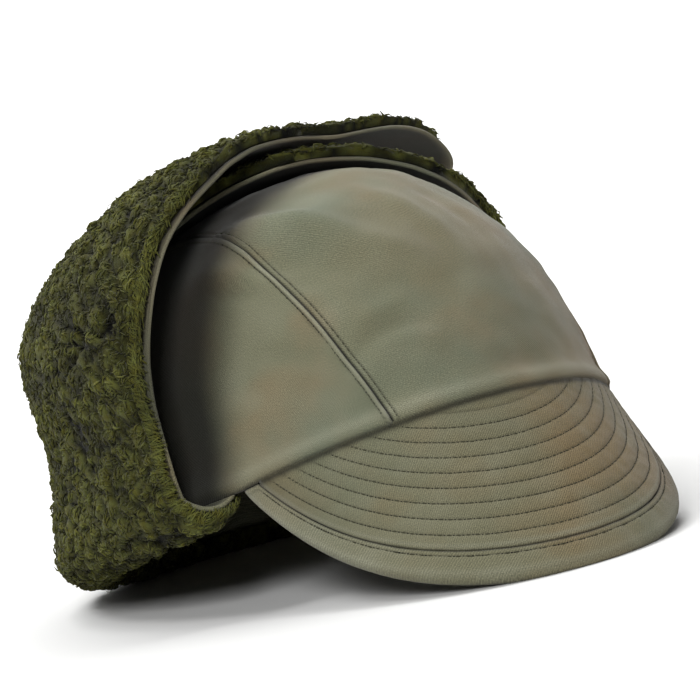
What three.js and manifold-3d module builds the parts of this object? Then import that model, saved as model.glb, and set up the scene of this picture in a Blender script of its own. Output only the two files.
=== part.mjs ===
// Winter pile cap: a three-panel cloth crown, a short quilted bill, and two pile-lined
// ear flaps turned up and fastened over the top. Millimetres, +Z up, the wearer faces -Y,
// and the wearer's right is -X. The cap rests on the tip of its bill and the fold at its back.
import * as THREE from 'three';
import { mergeVertices } from 'three/addons/utils/BufferGeometryUtils.js';
import Module from 'manifold-3d';

const wasm = await Module();
wasm.setup();

// Head size and crown
const HALF_WIDTH = 82.3;
const FRONT_LENGTH = 104.3;
const BACK_LENGTH = 95;
const CROWN_HEIGHT = 103;
const CROWN_LEAN = 12;
const FRONT_SQUARENESS = 3.2;
const SIDE_SQUARENESS = 2.6;
const BAND_RISE = 18;
const CROWN_TURN = 13;
const CROWN_WALL = 2;

// Bill
const BILL_LENGTH = 63.5;
const BILL_HALF_SPREAD = 54.3;
const BILL_DROOP_MIDDLE = 67.4;
const BILL_DROOP_CORNER = 80.4;
const BILL_THICK = 5;
const BILL_HEM = 9.8;
const BILL_ROUNDNESS = 1.98;
const BILL_TAPER = 0.92;

// Flaps
const SHELL_CLOTH = 1.6;
const PILE_DEPTH = 10;
const PILE_PRESSED = 4;
const PILE_LOCK = 1.6;
const PILE_EDGE = 2.5;
const PILE_SETBACK = 2;
const FOLD_PILE = 5.5;
const FOLD_CENTRE_RISE = 3;
const FOLD_RADIUS_BACK = 3.4;
const FOLD_SINK = 2;
const FLAP_STANDOFF = 15.5;
const UNDER_STANDOFF = 3;
const TIP_LIFT = 15;
const TIP_LIFT_START = 0.87;

// Hook pad
const FASTENER_LENGTH = 36;
const FASTENER_WIDTH = 26;
const FASTENER_THICK = 1;

// Depth of the largest dent in the crown
const DENT_DEPTH = 3;

// Gap that neighbouring pieces keep, and the width of a panel seam
const CLEARANCE = 0.3;

// The pile's setback from a flap's edges, and half of the seam at the back, as shares of a
// flap's width across.
const PILE_SETBACK_SHARE = PILE_SETBACK / (BACK_LENGTH * Math.PI / 2);
const BACK_SEAM = CLEARANCE / (BACK_LENGTH * Math.PI);

const FABRIC_OLIVE = 0x6f6c55;
const BILL_OLIVE = 0x64603f;
const PILE_OLIVE = 0x46452a;
const FASTENER_OLIVE = 0x3f3f2c;

const radians = THREE.MathUtils.degToRad;
const { lerp, smoothstep } = THREE.MathUtils;

// A place on the cap is named by its angle round from the front, towards the wearer's left,
// and its angle up from the band.
function heading(aroundDeg, upDeg) {
  const around = radians(aroundDeg);
  const up = radians(upDeg);
  return new THREE.Vector3(Math.sin(around) * Math.cos(up), Math.cos(around) * Math.cos(up), Math.sin(up));
}

// The band line climbs from the corners of the bill to the back of the head.
function bandHeight(aroundDeg) {
  const front = Math.cos(radians(BILL_HALF_SPREAD));
  const back = (front - Math.cos(radians(aroundDeg))) / (front + 1);
  return BAND_RISE * Math.max(0, back);
}

// Soft dents and folds of the crown cloth: place, depth as a share of the largest dent's, and
// spread in degrees.
const CROWN_DENTS = [
  { around: -46, up: 22, share: 1, wide: 9, high: 10 },
  { around: -30, up: 38, share: -0.67, wide: 26, high: 5 },
  { around: -33, up: 13, share: 0.6, wide: 9, high: 6 },
  { around: -8, up: 22, share: 0.53, wide: 14, high: 6 },
  { around: -62, up: 10, share: 0.73, wide: 10, high: 12 },
  { around: 28, up: 40, share: 0.53, wide: 20, high: 7 },
];

function crownDent(way) {
  const around = THREE.MathUtils.radToDeg(Math.atan2(way.x, way.y));
  const up = THREE.MathUtils.radToDeg(Math.atan2(way.z, Math.hypot(way.x, way.y)));
  let depth = 0;
  for (const dent of CROWN_DENTS) {
    const across = (around - dent.around) / dent.wide;
    const along = (up - dent.up) / dent.high;
    depth += DENT_DEPTH * dent.share * Math.exp(-across * across - along * along);
  }
  return depth;
}

// The head reaches further from its middle to the front than to the back.
function lengthTowards(forward) {
  return forward > 0 ? FRONT_LENGTH : BACK_LENGTH;
}

// The point of the dome in a given direction, moved outwards by an offset.
function domePoint(way, offset) {
  const round = Math.hypot(way.x, way.y);
  const frontShare = round > 1e-6 ? Math.max(0, way.y / round) ** 2 : 0;
  const square = lerp(SIDE_SQUARENESS, FRONT_SQUARENESS, frontShare);
  const reach = (round ** square + Math.max(0, way.z) ** square) ** (-1 / square);
  return new THREE.Vector3(
    (HALF_WIDTH + offset) * way.x * reach,
    -(lengthTowards(way.y) + offset) * way.y * reach + CROWN_LEAN * way.z * reach,
    (CROWN_HEIGHT + offset) * way.z * reach,
  );
}

// The band point at an angle, with the level outward direction there.
function bandPoint(aroundDeg) {
  const around = radians(aroundDeg);
  const height = bandHeight(aroundDeg);
  const length = lengthTowards(Math.cos(around));
  const point = new THREE.Vector3(HALF_WIDTH * Math.sin(around), -length * Math.cos(around), height);
  point.y += CROWN_LEAN * height / CROWN_HEIGHT;
  const outward = new THREE.Vector3(Math.sin(around) / HALF_WIDTH, -Math.cos(around) / length, 0);
  return { point, outward: outward.normalize() };
}

// Rest: the cap leans back until the bill tip and the fold at the back touch the surface.
const billDroop = radians(BILL_DROOP_MIDDLE);
const tipPoint = {
  along: -FRONT_LENGTH - BILL_LENGTH * Math.cos(billDroop),
  height: -BILL_LENGTH * Math.sin(billDroop) - BILL_THICK * Math.cos(billDroop) / 2,
};
// The centre of a fold lies outside the band, so that the folded cloth starts under the crown.
function foldCentre(radius) {
  return Math.sqrt((radius + SHELL_CLOTH) ** 2 - FOLD_CENTRE_RISE ** 2) - CROWN_WALL / 2;
}

const foldOuter = FOLD_RADIUS_BACK + SHELL_CLOTH + CLEARANCE + FOLD_PILE;
const backPoint = {
  along: BACK_LENGTH + foldCentre(FOLD_RADIUS_BACK),
  height: BAND_RISE + FOLD_CENTRE_RISE - foldOuter + FOLD_SINK,
};
const REST_TILT = Math.atan2(backPoint.height - tipPoint.height, backPoint.along - tipPoint.along);
const REST_LIFT = tipPoint.along * Math.sin(REST_TILT) - tipPoint.height * Math.cos(REST_TILT);

function restPoint(point) {
  const along = point.y * Math.cos(REST_TILT) + point.z * Math.sin(REST_TILT);
  const height = -point.y * Math.sin(REST_TILT) + point.z * Math.cos(REST_TILT) + REST_LIFT;
  return new THREE.Vector3(point.x, along, Math.max(0, height));
}

// A closed solid between an outer and an inner grid of points. A round grid closes on itself
// along its first parameter, and a grid with a pole ends in one point along its second.
function solidBetween(columns, rows, outer, inner, { round = false, pole = false } = {}) {
  const positions = [];
  const index = [];
  const perColumn = rows + 1;
  const columnCount = round ? columns : columns + 1;
  for (const face of [outer, inner]) {
    for (let column = 0; column < columnCount; column++) {
      for (let row = 0; row <= rows; row++) {
        const point = face(column / columns, row / rows);
        positions.push(point.x, point.y, point.z);
      }
    }
  }
  const sheet = columnCount * perColumn;
  const at = (column, row) => (column % columnCount) * perColumn + row;
  for (let column = 0; column < columns; column++) {
    for (let row = 0; row < rows; row++) {
      const corners = [at(column, row), at(column + 1, row), at(column + 1, row + 1), at(column, row + 1)];
      index.push(corners[0], corners[1], corners[2], corners[0], corners[2], corners[3]);
      const [a, b, c, d] = corners.map((corner) => corner + sheet);
      index.push(a, c, b, a, d, c);
    }
  }
  const wall = (first, second) => {
    index.push(first, first + sheet, second + sheet, first, second + sheet, second);
  };
  for (let column = 0; column < columns; column++) {
    wall(at(column, 0), at(column + 1, 0));
    if (!pole) {
      wall(at(column + 1, rows), at(column, rows));
    }
  }
  if (!round) {
    for (let row = 0; row < rows; row++) {
      wall(at(0, row + 1), at(0, row));
      wall(at(columns, row), at(columns, row + 1));
    }
  }
  return closedGeometry(positions, index);
}

// Merges shared vertices, drops empty triangles, and turns the faces outwards.
function closedGeometry(positions, index) {
  let geometry = new THREE.BufferGeometry();
  geometry.setAttribute('position', new THREE.Float32BufferAttribute(positions, 3));
  geometry.setIndex(index);
  geometry = mergeVertices(geometry, 1e-3);
  const merged = geometry.getIndex().array;
  const kept = [];
  for (let i = 0; i < merged.length; i += 3) {
    const [a, b, c] = [merged[i], merged[i + 1], merged[i + 2]];
    if (a !== b && b !== c && c !== a) {
      kept.push(a, b, c);
    }
  }
  geometry.setIndex(volumeOf(geometry, kept) < 0 ? kept.reverse() : kept);
  return geometry;
}

function volumeOf(geometry, index) {
  const position = geometry.getAttribute('position');
  const [a, b, c] = [new THREE.Vector3(), new THREE.Vector3(), new THREE.Vector3()];
  let volume = 0;
  for (let i = 0; i < index.length; i += 3) {
    a.fromBufferAttribute(position, index[i]);
    b.fromBufferAttribute(position, index[i + 1]);
    c.fromBufferAttribute(position, index[i + 2]);
    volume += a.dot(b.cross(c)) / 6;
  }
  return volume;
}

function toSolid(geometry) {
  const vertProperties = new Float32Array(geometry.getAttribute('position').array);
  const triVerts = new Uint32Array(geometry.getIndex().array);
  return new wasm.Manifold(new wasm.Mesh({ numProp: 3, vertProperties, triVerts }));
}

function toGeometry(solid) {
  const mesh = solid.getMesh();
  const geometry = new THREE.BufferGeometry();
  geometry.setAttribute('position', new THREE.Float32BufferAttribute(mesh.vertProperties, 3));
  geometry.setIndex(new THREE.BufferAttribute(mesh.triVerts, 1));
  return geometry;
}

// Crown: one cloth dome, cut along two curved seams into a centre panel and two side panels.
const CROWN_COLUMNS = 44;
const CROWN_ROWS = 10;

function crownFace(offset) {
  return (share, climb) => {
    const around = 360 * share;
    const foot = (bandHeight(around) + CLEARANCE) / (CROWN_HEIGHT + offset);
    const lowest = Math.asin(foot ** (SIDE_SQUARENESS / 2));
    const up = lerp(lowest, Math.PI / 2, climb);
    const level = Math.cos(up) ** (2 / SIDE_SQUARENESS);
    const height = Math.sin(up) ** (2 / SIDE_SQUARENESS);
    const way = heading(around, 0).multiplyScalar(climb < 1 ? level : 0).setZ(height);
    const point = domePoint(way, offset - crownDent(way) * smoothstep(climb, 0, 0.15));
    return restPoint(point);
  };
}

// The right seam's route over the crown, from the band at the front to the band at the back,
// as angles round from the crown's own front and up from the band. The left seam mirrors it.
const SEAM_STATIONS = [
  { around: 34, up: -8 },
  { around: 35, up: 2 },
  { around: 38, up: 14 },
  { around: 43.5, up: 29 },
  { around: 51, up: 41 },
  { around: 64, up: 51 },
  { around: 95, up: 56 },
  { around: 124, up: 46 },
  { around: 138, up: 25 },
  { around: 144, up: 8 },
  { around: 146, up: -4 },
];
const SEAM_STEPS = 36;
const SEAM_BLADE_DEPTH = 9;

function seamBlade(side) {
  const route = new THREE.CatmullRomCurve3(
    SEAM_STATIONS.map((station) => heading(CROWN_TURN + side * station.around, station.up)),
  );
  const stations = [];
  for (let step = 0; step <= SEAM_STEPS; step++) {
    const share = step / SEAM_STEPS;
    const way = route.getPoint(share);
    const onward = route.getTangent(share);
    const across = new THREE.Vector3().crossVectors(onward, way).normalize();
    across.multiplyScalar(CLEARANCE / 2 / HALF_WIDTH);
    stations.push({ way, across });
  }
  const cornerAt = (station, depth, edge) => {
    const way = station.way.clone().addScaledVector(station.across, edge);
    const low = Math.min(0, way.z) * CROWN_HEIGHT;
    const point = domePoint(way, depth);
    point.z += low;
    return unclampedRest(point);
  };
  const face = (edge) => (share, level) => {
    const station = stations[Math.round(share * SEAM_STEPS)];
    return cornerAt(station, lerp(-SEAM_BLADE_DEPTH, SEAM_BLADE_DEPTH, level), edge);
  };
  return toSolid(solidBetween(SEAM_STEPS, 1, face(1), face(-1)));
}

function unclampedRest(point) {
  const lifted = restPoint(point);
  lifted.z = -point.y * Math.sin(REST_TILT) + point.z * Math.cos(REST_TILT) + REST_LIFT;
  return lifted;
}

function crownPanels() {
  const dome = toSolid(solidBetween(
    CROWN_COLUMNS, CROWN_ROWS, crownFace(0), crownFace(-CROWN_WALL), { round: true, pole: true },
  ));
  const parts = dome.subtract(seamBlade(-1)).subtract(seamBlade(1)).decompose();
  const middleOf = (part) => {
    const box = part.boundingBox();
    return (box.min[0] + box.max[0]) / 2;
  };
  parts.sort((one, other) => middleOf(one) - middleOf(other));
  return parts.map(toGeometry);
}

// Bill: it follows the front of the band and droops; its outer edge narrows to both corners.
const BILL_COLUMNS = 28;
const HEM_COLUMNS = 32;
const BILL_ROWS = 5;
const HEM_ROWS = 2;
const BILL_LEAST = 1.5;

function billReach(aroundDeg) {
  const share = Math.min(1, Math.abs(aroundDeg) / BILL_HALF_SPREAD);
  return BILL_LENGTH * (1 - share ** BILL_ROUNDNESS) ** BILL_TAPER;
}

function billPoint(aroundDeg, reach, depth) {
  const share = (aroundDeg / BILL_HALF_SPREAD) ** 2;
  const droop = radians(lerp(BILL_DROOP_MIDDLE, BILL_DROOP_CORNER, share));
  const { point, outward } = bandPoint(aroundDeg);
  point.z = 0;
  const level = reach * Math.cos(droop) - depth * Math.sin(droop);
  const drop = reach * Math.sin(droop) + depth * Math.cos(droop);
  point.addScaledVector(outward, level);
  point.z -= drop;
  return restPoint(point);
}

// The angle at which the bill has narrowed to a given reach.
function billAngleAt(reach) {
  const narrowed = (reach / BILL_LENGTH) ** (1 / BILL_TAPER);
  return BILL_HALF_SPREAD * (1 - narrowed) ** (1 / BILL_ROUNDNESS);
}

function billBody() {
  const spread = billAngleAt(BILL_HEM + BILL_LEAST);
  const face = (depthAt) => (share, out) => {
    const around = lerp(-spread, spread, share);
    const reach = (billReach(around) - BILL_HEM - CLEARANCE) * out;
    return billPoint(around, reach, depthAt(share, out));
  };
  return solidBetween(BILL_COLUMNS, BILL_ROWS, face(() => 0), face(() => BILL_THICK));
}

function billHem() {
  const spread = billAngleAt(BILL_LEAST);
  const face = (upper) => (share, out) => {
    const around = lerp(-spread, spread, share);
    const whole = billReach(around);
    const start = Math.max(0, whole - BILL_HEM);
    const rounding = out < 1 ? 0 : BILL_THICK / 3;
    return billPoint(around, lerp(start, whole, out), upper ? rounding : BILL_THICK - rounding);
  };
  return solidBetween(HEM_COLUMNS, HEM_ROWS, face(true), face(false));
}

// Flaps: each is spread between its front edge and its rear edge. A row is a station on the
// way up from the fold: where either edge is, how far the cloth stands off the crown there as
// a share of its largest standoff, and how deep the pile is as a share of its full depth.
// Angles count from the crown's own front towards the flap's side, and past 0 the flap has
// crossed over. The fold's radius at its front is a share of that at the back.
const at = (around, up) => ({ around, up });
const FASTENER_SEAT = UNDER_STANDOFF + SHELL_CLOTH + CLEARANCE + PILE_PRESSED + 1.5 * CLEARANCE;
const OVER = (FASTENER_SEAT + FASTENER_THICK + 1.5 * CLEARANCE) / FLAP_STANDOFF;
const UNDER = UNDER_STANDOFF / FLAP_STANDOFF;
const FOLDED = FOLD_PILE / PILE_DEPTH;
const PRESSED = PILE_PRESSED / PILE_DEPTH;
const FLAPS = {
  right: {
    side: -1,
    foldFront: 1.32,
    cornerAround: 69,
    stations: [
      { front: at(75, 3), rear: at(180, 10), frontOff: 0.84, rearOff: 0.1, pile: FOLDED },
      { front: at(73, 11), rear: at(180, 19), frontOff: 0.9, rearOff: 0.03, pile: PRESSED },
      { front: at(70, 21), rear: at(179, 31), frontOff: 1, rearOff: 0.39, pile: 1 },
      { front: at(62, 35), rear: at(178, 46), frontOff: 1, rearOff: 0.45, pile: 0.75 },
      { front: at(48, 48), rear: at(164, 61), frontOff: 0.77, rearOff: 0.75, pile: 0.5 },
      { front: at(14, 62), rear: at(164, 77), frontOff: OVER, rearOff: OVER, pile: PRESSED },
      { front: at(-53, 46), rear: at(-88, 47), frontOff: OVER, rearOff: OVER, pile: PRESSED },
    ],
  },
  left: {
    side: 1,
    foldFront: 1.18,
    cornerAround: 78,
    stations: [
      { front: at(82, 3), rear: at(180, 10), frontOff: 0.65, rearOff: 0.1, pile: FOLDED },
      { front: at(80, 11), rear: at(180, 19), frontOff: 0.65, rearOff: 0.03, pile: PRESSED },
      { front: at(74, 24), rear: at(179, 31), frontOff: 0.52, rearOff: 0.39, pile: 1 },
      { front: at(58, 37), rear: at(178, 46), frontOff: 0.39, rearOff: 0.42, pile: 0.75 },
      { front: at(34, 48), rear: at(160, 61), frontOff: UNDER, rearOff: UNDER, pile: PRESSED },
      { front: at(-12, 61), rear: at(-170, 74), frontOff: UNDER, rearOff: UNDER, pile: PRESSED },
      { front: at(-60, 47), rear: at(-100, 50), frontOff: UNDER, rearOff: UNDER, pile: PRESSED },
    ],
  },
};
const FLAP_COLUMNS = 20;
const FLAP_ROWS = 20;
const FOLD_ROWS = 5;
const TONGUE_ROUNDING = 0.14;

// Turns a direction from one to another at an even rate.
function turnBetween(from, to, share) {
  const angle = from.angleTo(to);
  if (angle < 1e-4) {
    return from.clone();
  }
  const start = from.clone().multiplyScalar(Math.sin((1 - share) * angle));
  return start.addScaledVector(to, Math.sin(share * angle)).normalize();
}

function flapShape(flap) {
  const { side, stations } = flap;
  const route = (edge) => new THREE.CatmullRomCurve3(stations.map(
    (station) => heading(CROWN_TURN + side * station[edge].around, station[edge].up),
  ), false, 'centripetal');
  const front = route('front');
  const rear = route('rear');
  const standoffs = new THREE.CatmullRomCurve3(
    stations.map((station) => new THREE.Vector3(station.frontOff, station.rearOff, 0)),
  );

  // The place on the flap at a share across (front 0, rear 1) and up from the fold.
  const upperPoint = (across, up, layer) => {
    const way = turnBetween(front.getPoint(up).normalize(), rear.getPoint(up).normalize(), across);
    const { x: frontOff, y: rearOff } = standoffs.getPoint(up);
    const lift = side < 0 ? TIP_LIFT * smoothstep(up, TIP_LIFT_START, 1) : 0;
    const standing = FLAP_STANDOFF * lerp(frontOff, rearOff, smoothstep(across, 0, 0.6));
    return domePoint(way, standing + lift + layer);
  };

  // The fold: from the band, down, outwards and up, in a plane square to the band.
  const foldPoint = (across, turn, layer) => {
    const around = lerp(lerp(flap.cornerAround, stations[0].front.around, turn), 180, across);
    const radius = FOLD_RADIUS_BACK * lerp(flap.foldFront, 1, across);
    const ring = radius + layer;
    const { point, outward } = bandPoint(CROWN_TURN + side * around);
    const startAngle = Math.PI + Math.asin(Math.min(1, FOLD_CENTRE_RISE / ring));
    const angle = lerp(startAngle, 2 * Math.PI, turn);
    point.addScaledVector(outward, foldCentre(radius) + ring * Math.cos(angle));
    point.z += FOLD_CENTRE_RISE + ring * Math.sin(angle);
    return point;
  };

  // A point by its share across, its row up from the band, and its layer out from the cloth.
  // Columns end on a round line at the tongue; a setback holds a layer back from the edges.
  return (share, climb, layer, setback = 0) => {
    const across = Math.max(setback, share * (1 - BACK_SEAM));
    const row = climb * FLAP_ROWS;
    if (row <= FOLD_ROWS) {
      return restPoint(foldPoint(across, row / FOLD_ROWS, layer));
    }
    const up = (row - FOLD_ROWS) / (FLAP_ROWS - FOLD_ROWS) * tongueEnd(share);
    const held = Math.min(up, tongueEnd(share) - setback);
    const fade = (1 - held) ** 6;
    const join = foldPoint(across, 1, layer).sub(upperPoint(across, 0, layer));
    return restPoint(upperPoint(across, held, layer).addScaledVector(join, fade));
  };
}

// The top end of a flap is rounded: its outer columns stop short.
function tongueEnd(across) {
  return 1 - TONGUE_ROUNDING * (1 - Math.sqrt(Math.max(0, 1 - (2 * across - 1) ** 2)));
}

function flapShell(flap) {
  const shape = flapShape(flap);
  const face = (layer) => (share, climb) => shape(share, climb, layer);
  return solidBetween(FLAP_COLUMNS, FLAP_ROWS, face(SHELL_CLOTH), face(0));
}

// Locks of the pile: every third grid point is raised as a tuft, staggered from row to row,
// and two waves make the tufts uneven.
const TUFT_SPACING = 3;
const TUFT_HOLLOW = -0.35;
const TUFT_WAVES = [
  { across: 2.3, up: 1.7, share: 0.5 },
  { across: 0.9, up: -2.9, share: 0.4 },
];

function lockHeight(column, row) {
  const raised = (column + 2 * (row % 2)) % TUFT_SPACING === 0;
  let height = raised ? 1 : TUFT_HOLLOW;
  for (const wave of TUFT_WAVES) {
    height += wave.share * Math.sin(column * wave.across + row * wave.up);
  }
  return PILE_LOCK * height / 2;
}

function flapPile(flap) {
  const shape = flapShape(flap);
  const seat = SHELL_CLOTH + CLEARANCE;
  const fullness = (share, climb) => {
    const fromRoot = climb * FLAP_ROWS * 0.8 + 0.3;
    const nearest = Math.min(share * FLAP_COLUMNS, (1 - climb) * FLAP_ROWS, fromRoot);
    return Math.sqrt(1 - (1 - Math.min(1, nearest / 2)) ** 2);
  };
  const foldClimb = FOLD_ROWS / FLAP_ROWS;
  const depths = new THREE.SplineCurve(
    flap.stations.map((station, row) => new THREE.Vector2(row, station.pile)),
  );
  const outer = (share, climb) => {
    const depth = PILE_DEPTH * depths.getPoint(Math.max(0, climb - foldClimb) / (1 - foldClimb)).y;
    const full = fullness(share, climb);
    const loose = smoothstep(climb, foldClimb, foldClimb + 0.1) * full;
    const lockRoom = (depth - PILE_PRESSED) / (PILE_DEPTH - PILE_PRESSED);
    const lock = lockHeight(Math.round(share * FLAP_COLUMNS), Math.round(climb * FLAP_ROWS));
    const thick = lerp(PILE_EDGE, depth, full) + lock * loose * lockRoom;
    return shape(share, climb, seat + thick, PILE_SETBACK_SHARE);
  };
  const inner = (share, climb) => {
    const rolled = share === 0 || climb === 1 ? 2 * CLEARANCE : 0;
    return shape(share, climb, seat + rolled, PILE_SETBACK_SHARE);
  };
  return solidBetween(FLAP_COLUMNS, FLAP_ROWS, outer, inner);
}

// Fastener: the hook pad under the upper tongue, resting on the lower one.
function fastenerPad() {
  const face = (layer) => (share, climb) => {
    const side = (share - 0.5) * FASTENER_LENGTH / HALF_WIDTH;
    const forward = ((0.5 - climb) * FASTENER_WIDTH + CROWN_LEAN) / FRONT_LENGTH;
    return restPoint(domePoint(new THREE.Vector3(side, forward, 1).normalize(), FASTENER_SEAT + layer));
  };
  return solidBetween(8, 6, face(FASTENER_THICK), face(0));
}

const cap = new THREE.Group();

function addPiece(name, geometry, color, roughness) {
  const material = new THREE.MeshStandardMaterial({ color, roughness, metalness: 0 });
  const mesh = new THREE.Mesh(geometry, material);
  mesh.name = name;
  cap.add(mesh);
}

const [rightPanel, centerPanel, leftPanel] = crownPanels();
addPiece('crown_side_right', rightPanel, FABRIC_OLIVE, 0.85);
addPiece('crown_center_panel', centerPanel, FABRIC_OLIVE, 0.85);
addPiece('crown_side_left', leftPanel, FABRIC_OLIVE, 0.85);
addPiece('bill', billBody(), BILL_OLIVE, 0.85);
addPiece('bill_hem', billHem(), BILL_OLIVE, 0.85);
for (const [name, flap] of Object.entries(FLAPS)) {
  addPiece(`flap_shell_${name}`, flapShell(flap), FABRIC_OLIVE, 0.85);
  addPiece(`pile_${name}`, flapPile(flap), PILE_OLIVE, 1);
}
addPiece('flap_fastener', fastenerPad(), FASTENER_OLIVE, 1);

// The origin lies under the middle of the cap, on the surface that it rests on.
const box = new THREE.Box3().setFromObject(cap);
const middle = box.getCenter(new THREE.Vector3());
cap.position.set(-middle.x, -middle.y, -box.min.z);
cap.updateMatrixWorld(true);

export default cap;
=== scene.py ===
# %% [markdown]
# # A winter pile cap
#
# The real cap is sewn from olive cotton sateen. Three panels make the crown, rows of
# stitching stiffen the short bill, and two flaps lined with deep curly pile are turned up
# and crossed over the top. This lesson dresses the measured solids of that cap: each cloth
# piece is made again as a fine sheet, with its seams, stitches, weave and folds, and the
# pile as a lumpy bed covered with thousands of small curls.

import math

import bmesh
import bpy
import numpy as np
from mathutils import Matrix, Vector, noise


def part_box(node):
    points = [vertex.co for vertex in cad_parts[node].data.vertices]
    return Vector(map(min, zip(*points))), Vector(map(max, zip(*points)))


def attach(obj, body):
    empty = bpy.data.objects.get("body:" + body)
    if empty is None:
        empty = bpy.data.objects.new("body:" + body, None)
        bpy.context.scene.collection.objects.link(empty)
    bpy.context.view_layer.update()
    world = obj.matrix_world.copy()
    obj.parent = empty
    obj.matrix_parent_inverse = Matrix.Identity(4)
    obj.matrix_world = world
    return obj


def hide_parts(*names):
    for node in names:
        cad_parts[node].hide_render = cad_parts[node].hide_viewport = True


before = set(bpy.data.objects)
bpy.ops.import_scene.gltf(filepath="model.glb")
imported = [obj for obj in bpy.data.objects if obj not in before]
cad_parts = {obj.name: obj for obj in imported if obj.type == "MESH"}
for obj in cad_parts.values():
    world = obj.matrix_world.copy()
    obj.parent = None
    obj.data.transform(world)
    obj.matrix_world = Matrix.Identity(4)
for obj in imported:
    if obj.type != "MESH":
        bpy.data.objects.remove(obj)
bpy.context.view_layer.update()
print("nodes:", ", ".join(sorted(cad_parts)))

# %% [markdown]
# ## The sizes that drive everything
#
# The cap was measured in millimetres, so the lesson keeps that unit and turns it into
# Blender's metres in one place. The crown is a rounded dome, longer to the front than to
# the back and a little square in profile. Every cloth piece is laid on this dome at some
# distance from it, which is how a sewn cap is built up in layers too.

# %% Sizes in millimetres and degrees
MM = 0.001
HALF_WIDTH = 82.3
FRONT_LENGTH = 104.3
BACK_LENGTH = 95.0
CROWN_HEIGHT = 103.0
CROWN_LEAN = 12.0
FRONT_SQUARENESS = 3.2
SIDE_SQUARENESS = 2.6
BAND_RISE = 18.0
CROWN_TURN = 13.0
CROWN_CLOTH = 1.5

BILL_LENGTH = 63.5
BILL_HALF_SPREAD = 54.3
BILL_DROOP_MIDDLE = 67.4
BILL_DROOP_CORNER = 80.4
BILL_THICK = 5.0
BILL_HEM = 9.8
BILL_ROUNDNESS = 1.98
BILL_TAPER = 0.92
QUILT_ROWS = 8
QUILT_SPACING = 5.48

SHELL_CLOTH = 1.6
PILE_DEPTH = 10.0
PILE_PRESSED = 4.0
PILE_EDGE = 2.5
PILE_SETBACK = 2.0
FOLD_PILE = 5.5
FOLD_CENTRE_RISE = 3.0
FOLD_RADIUS_BACK = 3.4
FOLD_SINK = 2.0
FLAP_STANDOFF = 15.5
UNDER_STANDOFF = 3.0
TIP_LIFT = 15.0
TIP_LIFT_START = 0.87
CLEARANCE = 0.3
FASTENER_THICK = 1.0
CROWN_WALL = 2.0

# %% [markdown]
# ## Places on the cap
#
# A place is named by two angles: how far round from the front, and how far up from the
# band. The helpers below work on whole arrays of places at once, because a fine sheet has
# tens of thousands of points and a loop in Python would be slow.


# %% Helpers for directions, blends and curves
def smoothstep(value, low, high):
    share = np.clip((value - low) / (high - low), 0, 1)
    return share * share * (3 - 2 * share)


def mix(a, b, share):
    return a + (b - a) * share


def heading(around, up):
    around, up = np.radians(around), np.radians(up)
    level = np.cos(up)
    parts = [np.sin(around) * level, np.cos(around) * level, np.sin(up) + 0 * around]
    return np.stack(np.broadcast_arrays(*parts), -1)


def unit(vectors):
    return vectors / np.maximum(np.linalg.norm(vectors, axis=-1, keepdims=True), 1e-12)


def turn_between(start, end, share):
    """Turns directions from start to end at an even rate."""
    share = np.asarray(share)[..., None]
    angle = np.arccos(np.clip((start * end).sum(-1), -1, 1))[..., None]
    close = angle < 1e-4
    angle = np.where(close, 1.0, angle)
    turned = start * np.sin((1 - share) * angle) + end * np.sin(share * angle)
    return np.where(close, start, unit(turned))


def smooth_curve(points, shares):
    """A centripetal Catmull-Rom curve through points, at shares from 0 to 1."""
    points = np.asarray(points, float)
    whole = np.vstack([2 * points[0] - points[1], points, 2 * points[-1] - points[-2]])
    spans = len(points) - 1
    place = np.clip(np.asarray(shares, float), 0, 1) * spans
    segment = np.minimum(place.astype(int), spans - 1)
    along = (place - segment)[..., None]
    p0, p1, p2, p3 = (whole[segment + step] for step in range(4))
    pairs = ((p0, p1), (p1, p2), (p2, p3))
    gap = [np.sqrt(np.linalg.norm(b - a, axis=-1, keepdims=True)) for a, b in pairs]
    middle = np.where(gap[1] < 1e-4, 1.0, gap[1])
    first = np.where(gap[0] < 1e-4, middle, gap[0])
    last = np.where(gap[2] < 1e-4, middle, gap[2])
    rate1 = ((p1 - p0) / first - (p2 - p0) / (first + middle) + (p2 - p1) / middle) * middle
    rate2 = ((p2 - p1) / middle - (p3 - p1) / (middle + last) + (p3 - p2) / last) * middle
    square, cube = along**2, along**3
    curve = p1 + rate1 * along + (-3 * p1 + 3 * p2 - 2 * rate1 - rate2) * square
    return curve + (2 * p1 - 2 * p2 + rate1 + rate2) * cube


# %% [markdown]
# ## The dome, the band and the way the cap lies
#
# The dome is a superellipsoid: like an ellipsoid, but fuller at the shoulders, as a stiff
# cotton crown is. At rest the cap leans back on the tip of its bill and the fold at its
# back, so one turn about the left-right axis lays every point down. Points that would sink
# into the table are pressed flat against it.


# %% The dome and the band
def length_towards(forward):
    return np.where(forward > 0, FRONT_LENGTH, BACK_LENGTH)


def dome_point(way, offset):
    level = np.hypot(way[..., 0], way[..., 1])
    front = np.where(level > 1e-6, np.maximum(0, way[..., 1] / np.maximum(level, 1e-6)) ** 2, 0)
    square = mix(SIDE_SQUARENESS, FRONT_SQUARENESS, front)
    height = np.maximum(0, way[..., 2])
    reach = (level**square + height**square) ** (-1 / square)
    x = (HALF_WIDTH + offset) * way[..., 0] * reach
    y = -(length_towards(way[..., 1]) + offset) * way[..., 1] * reach
    z = (CROWN_HEIGHT + offset) * way[..., 2] * reach
    return np.stack([x, y + CROWN_LEAN * way[..., 2] * reach, z], -1)


def band_height(around):
    front = math.cos(math.radians(BILL_HALF_SPREAD))
    back = (front - np.cos(np.radians(around))) / (front + 1)
    return BAND_RISE * np.maximum(0, back)


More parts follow.
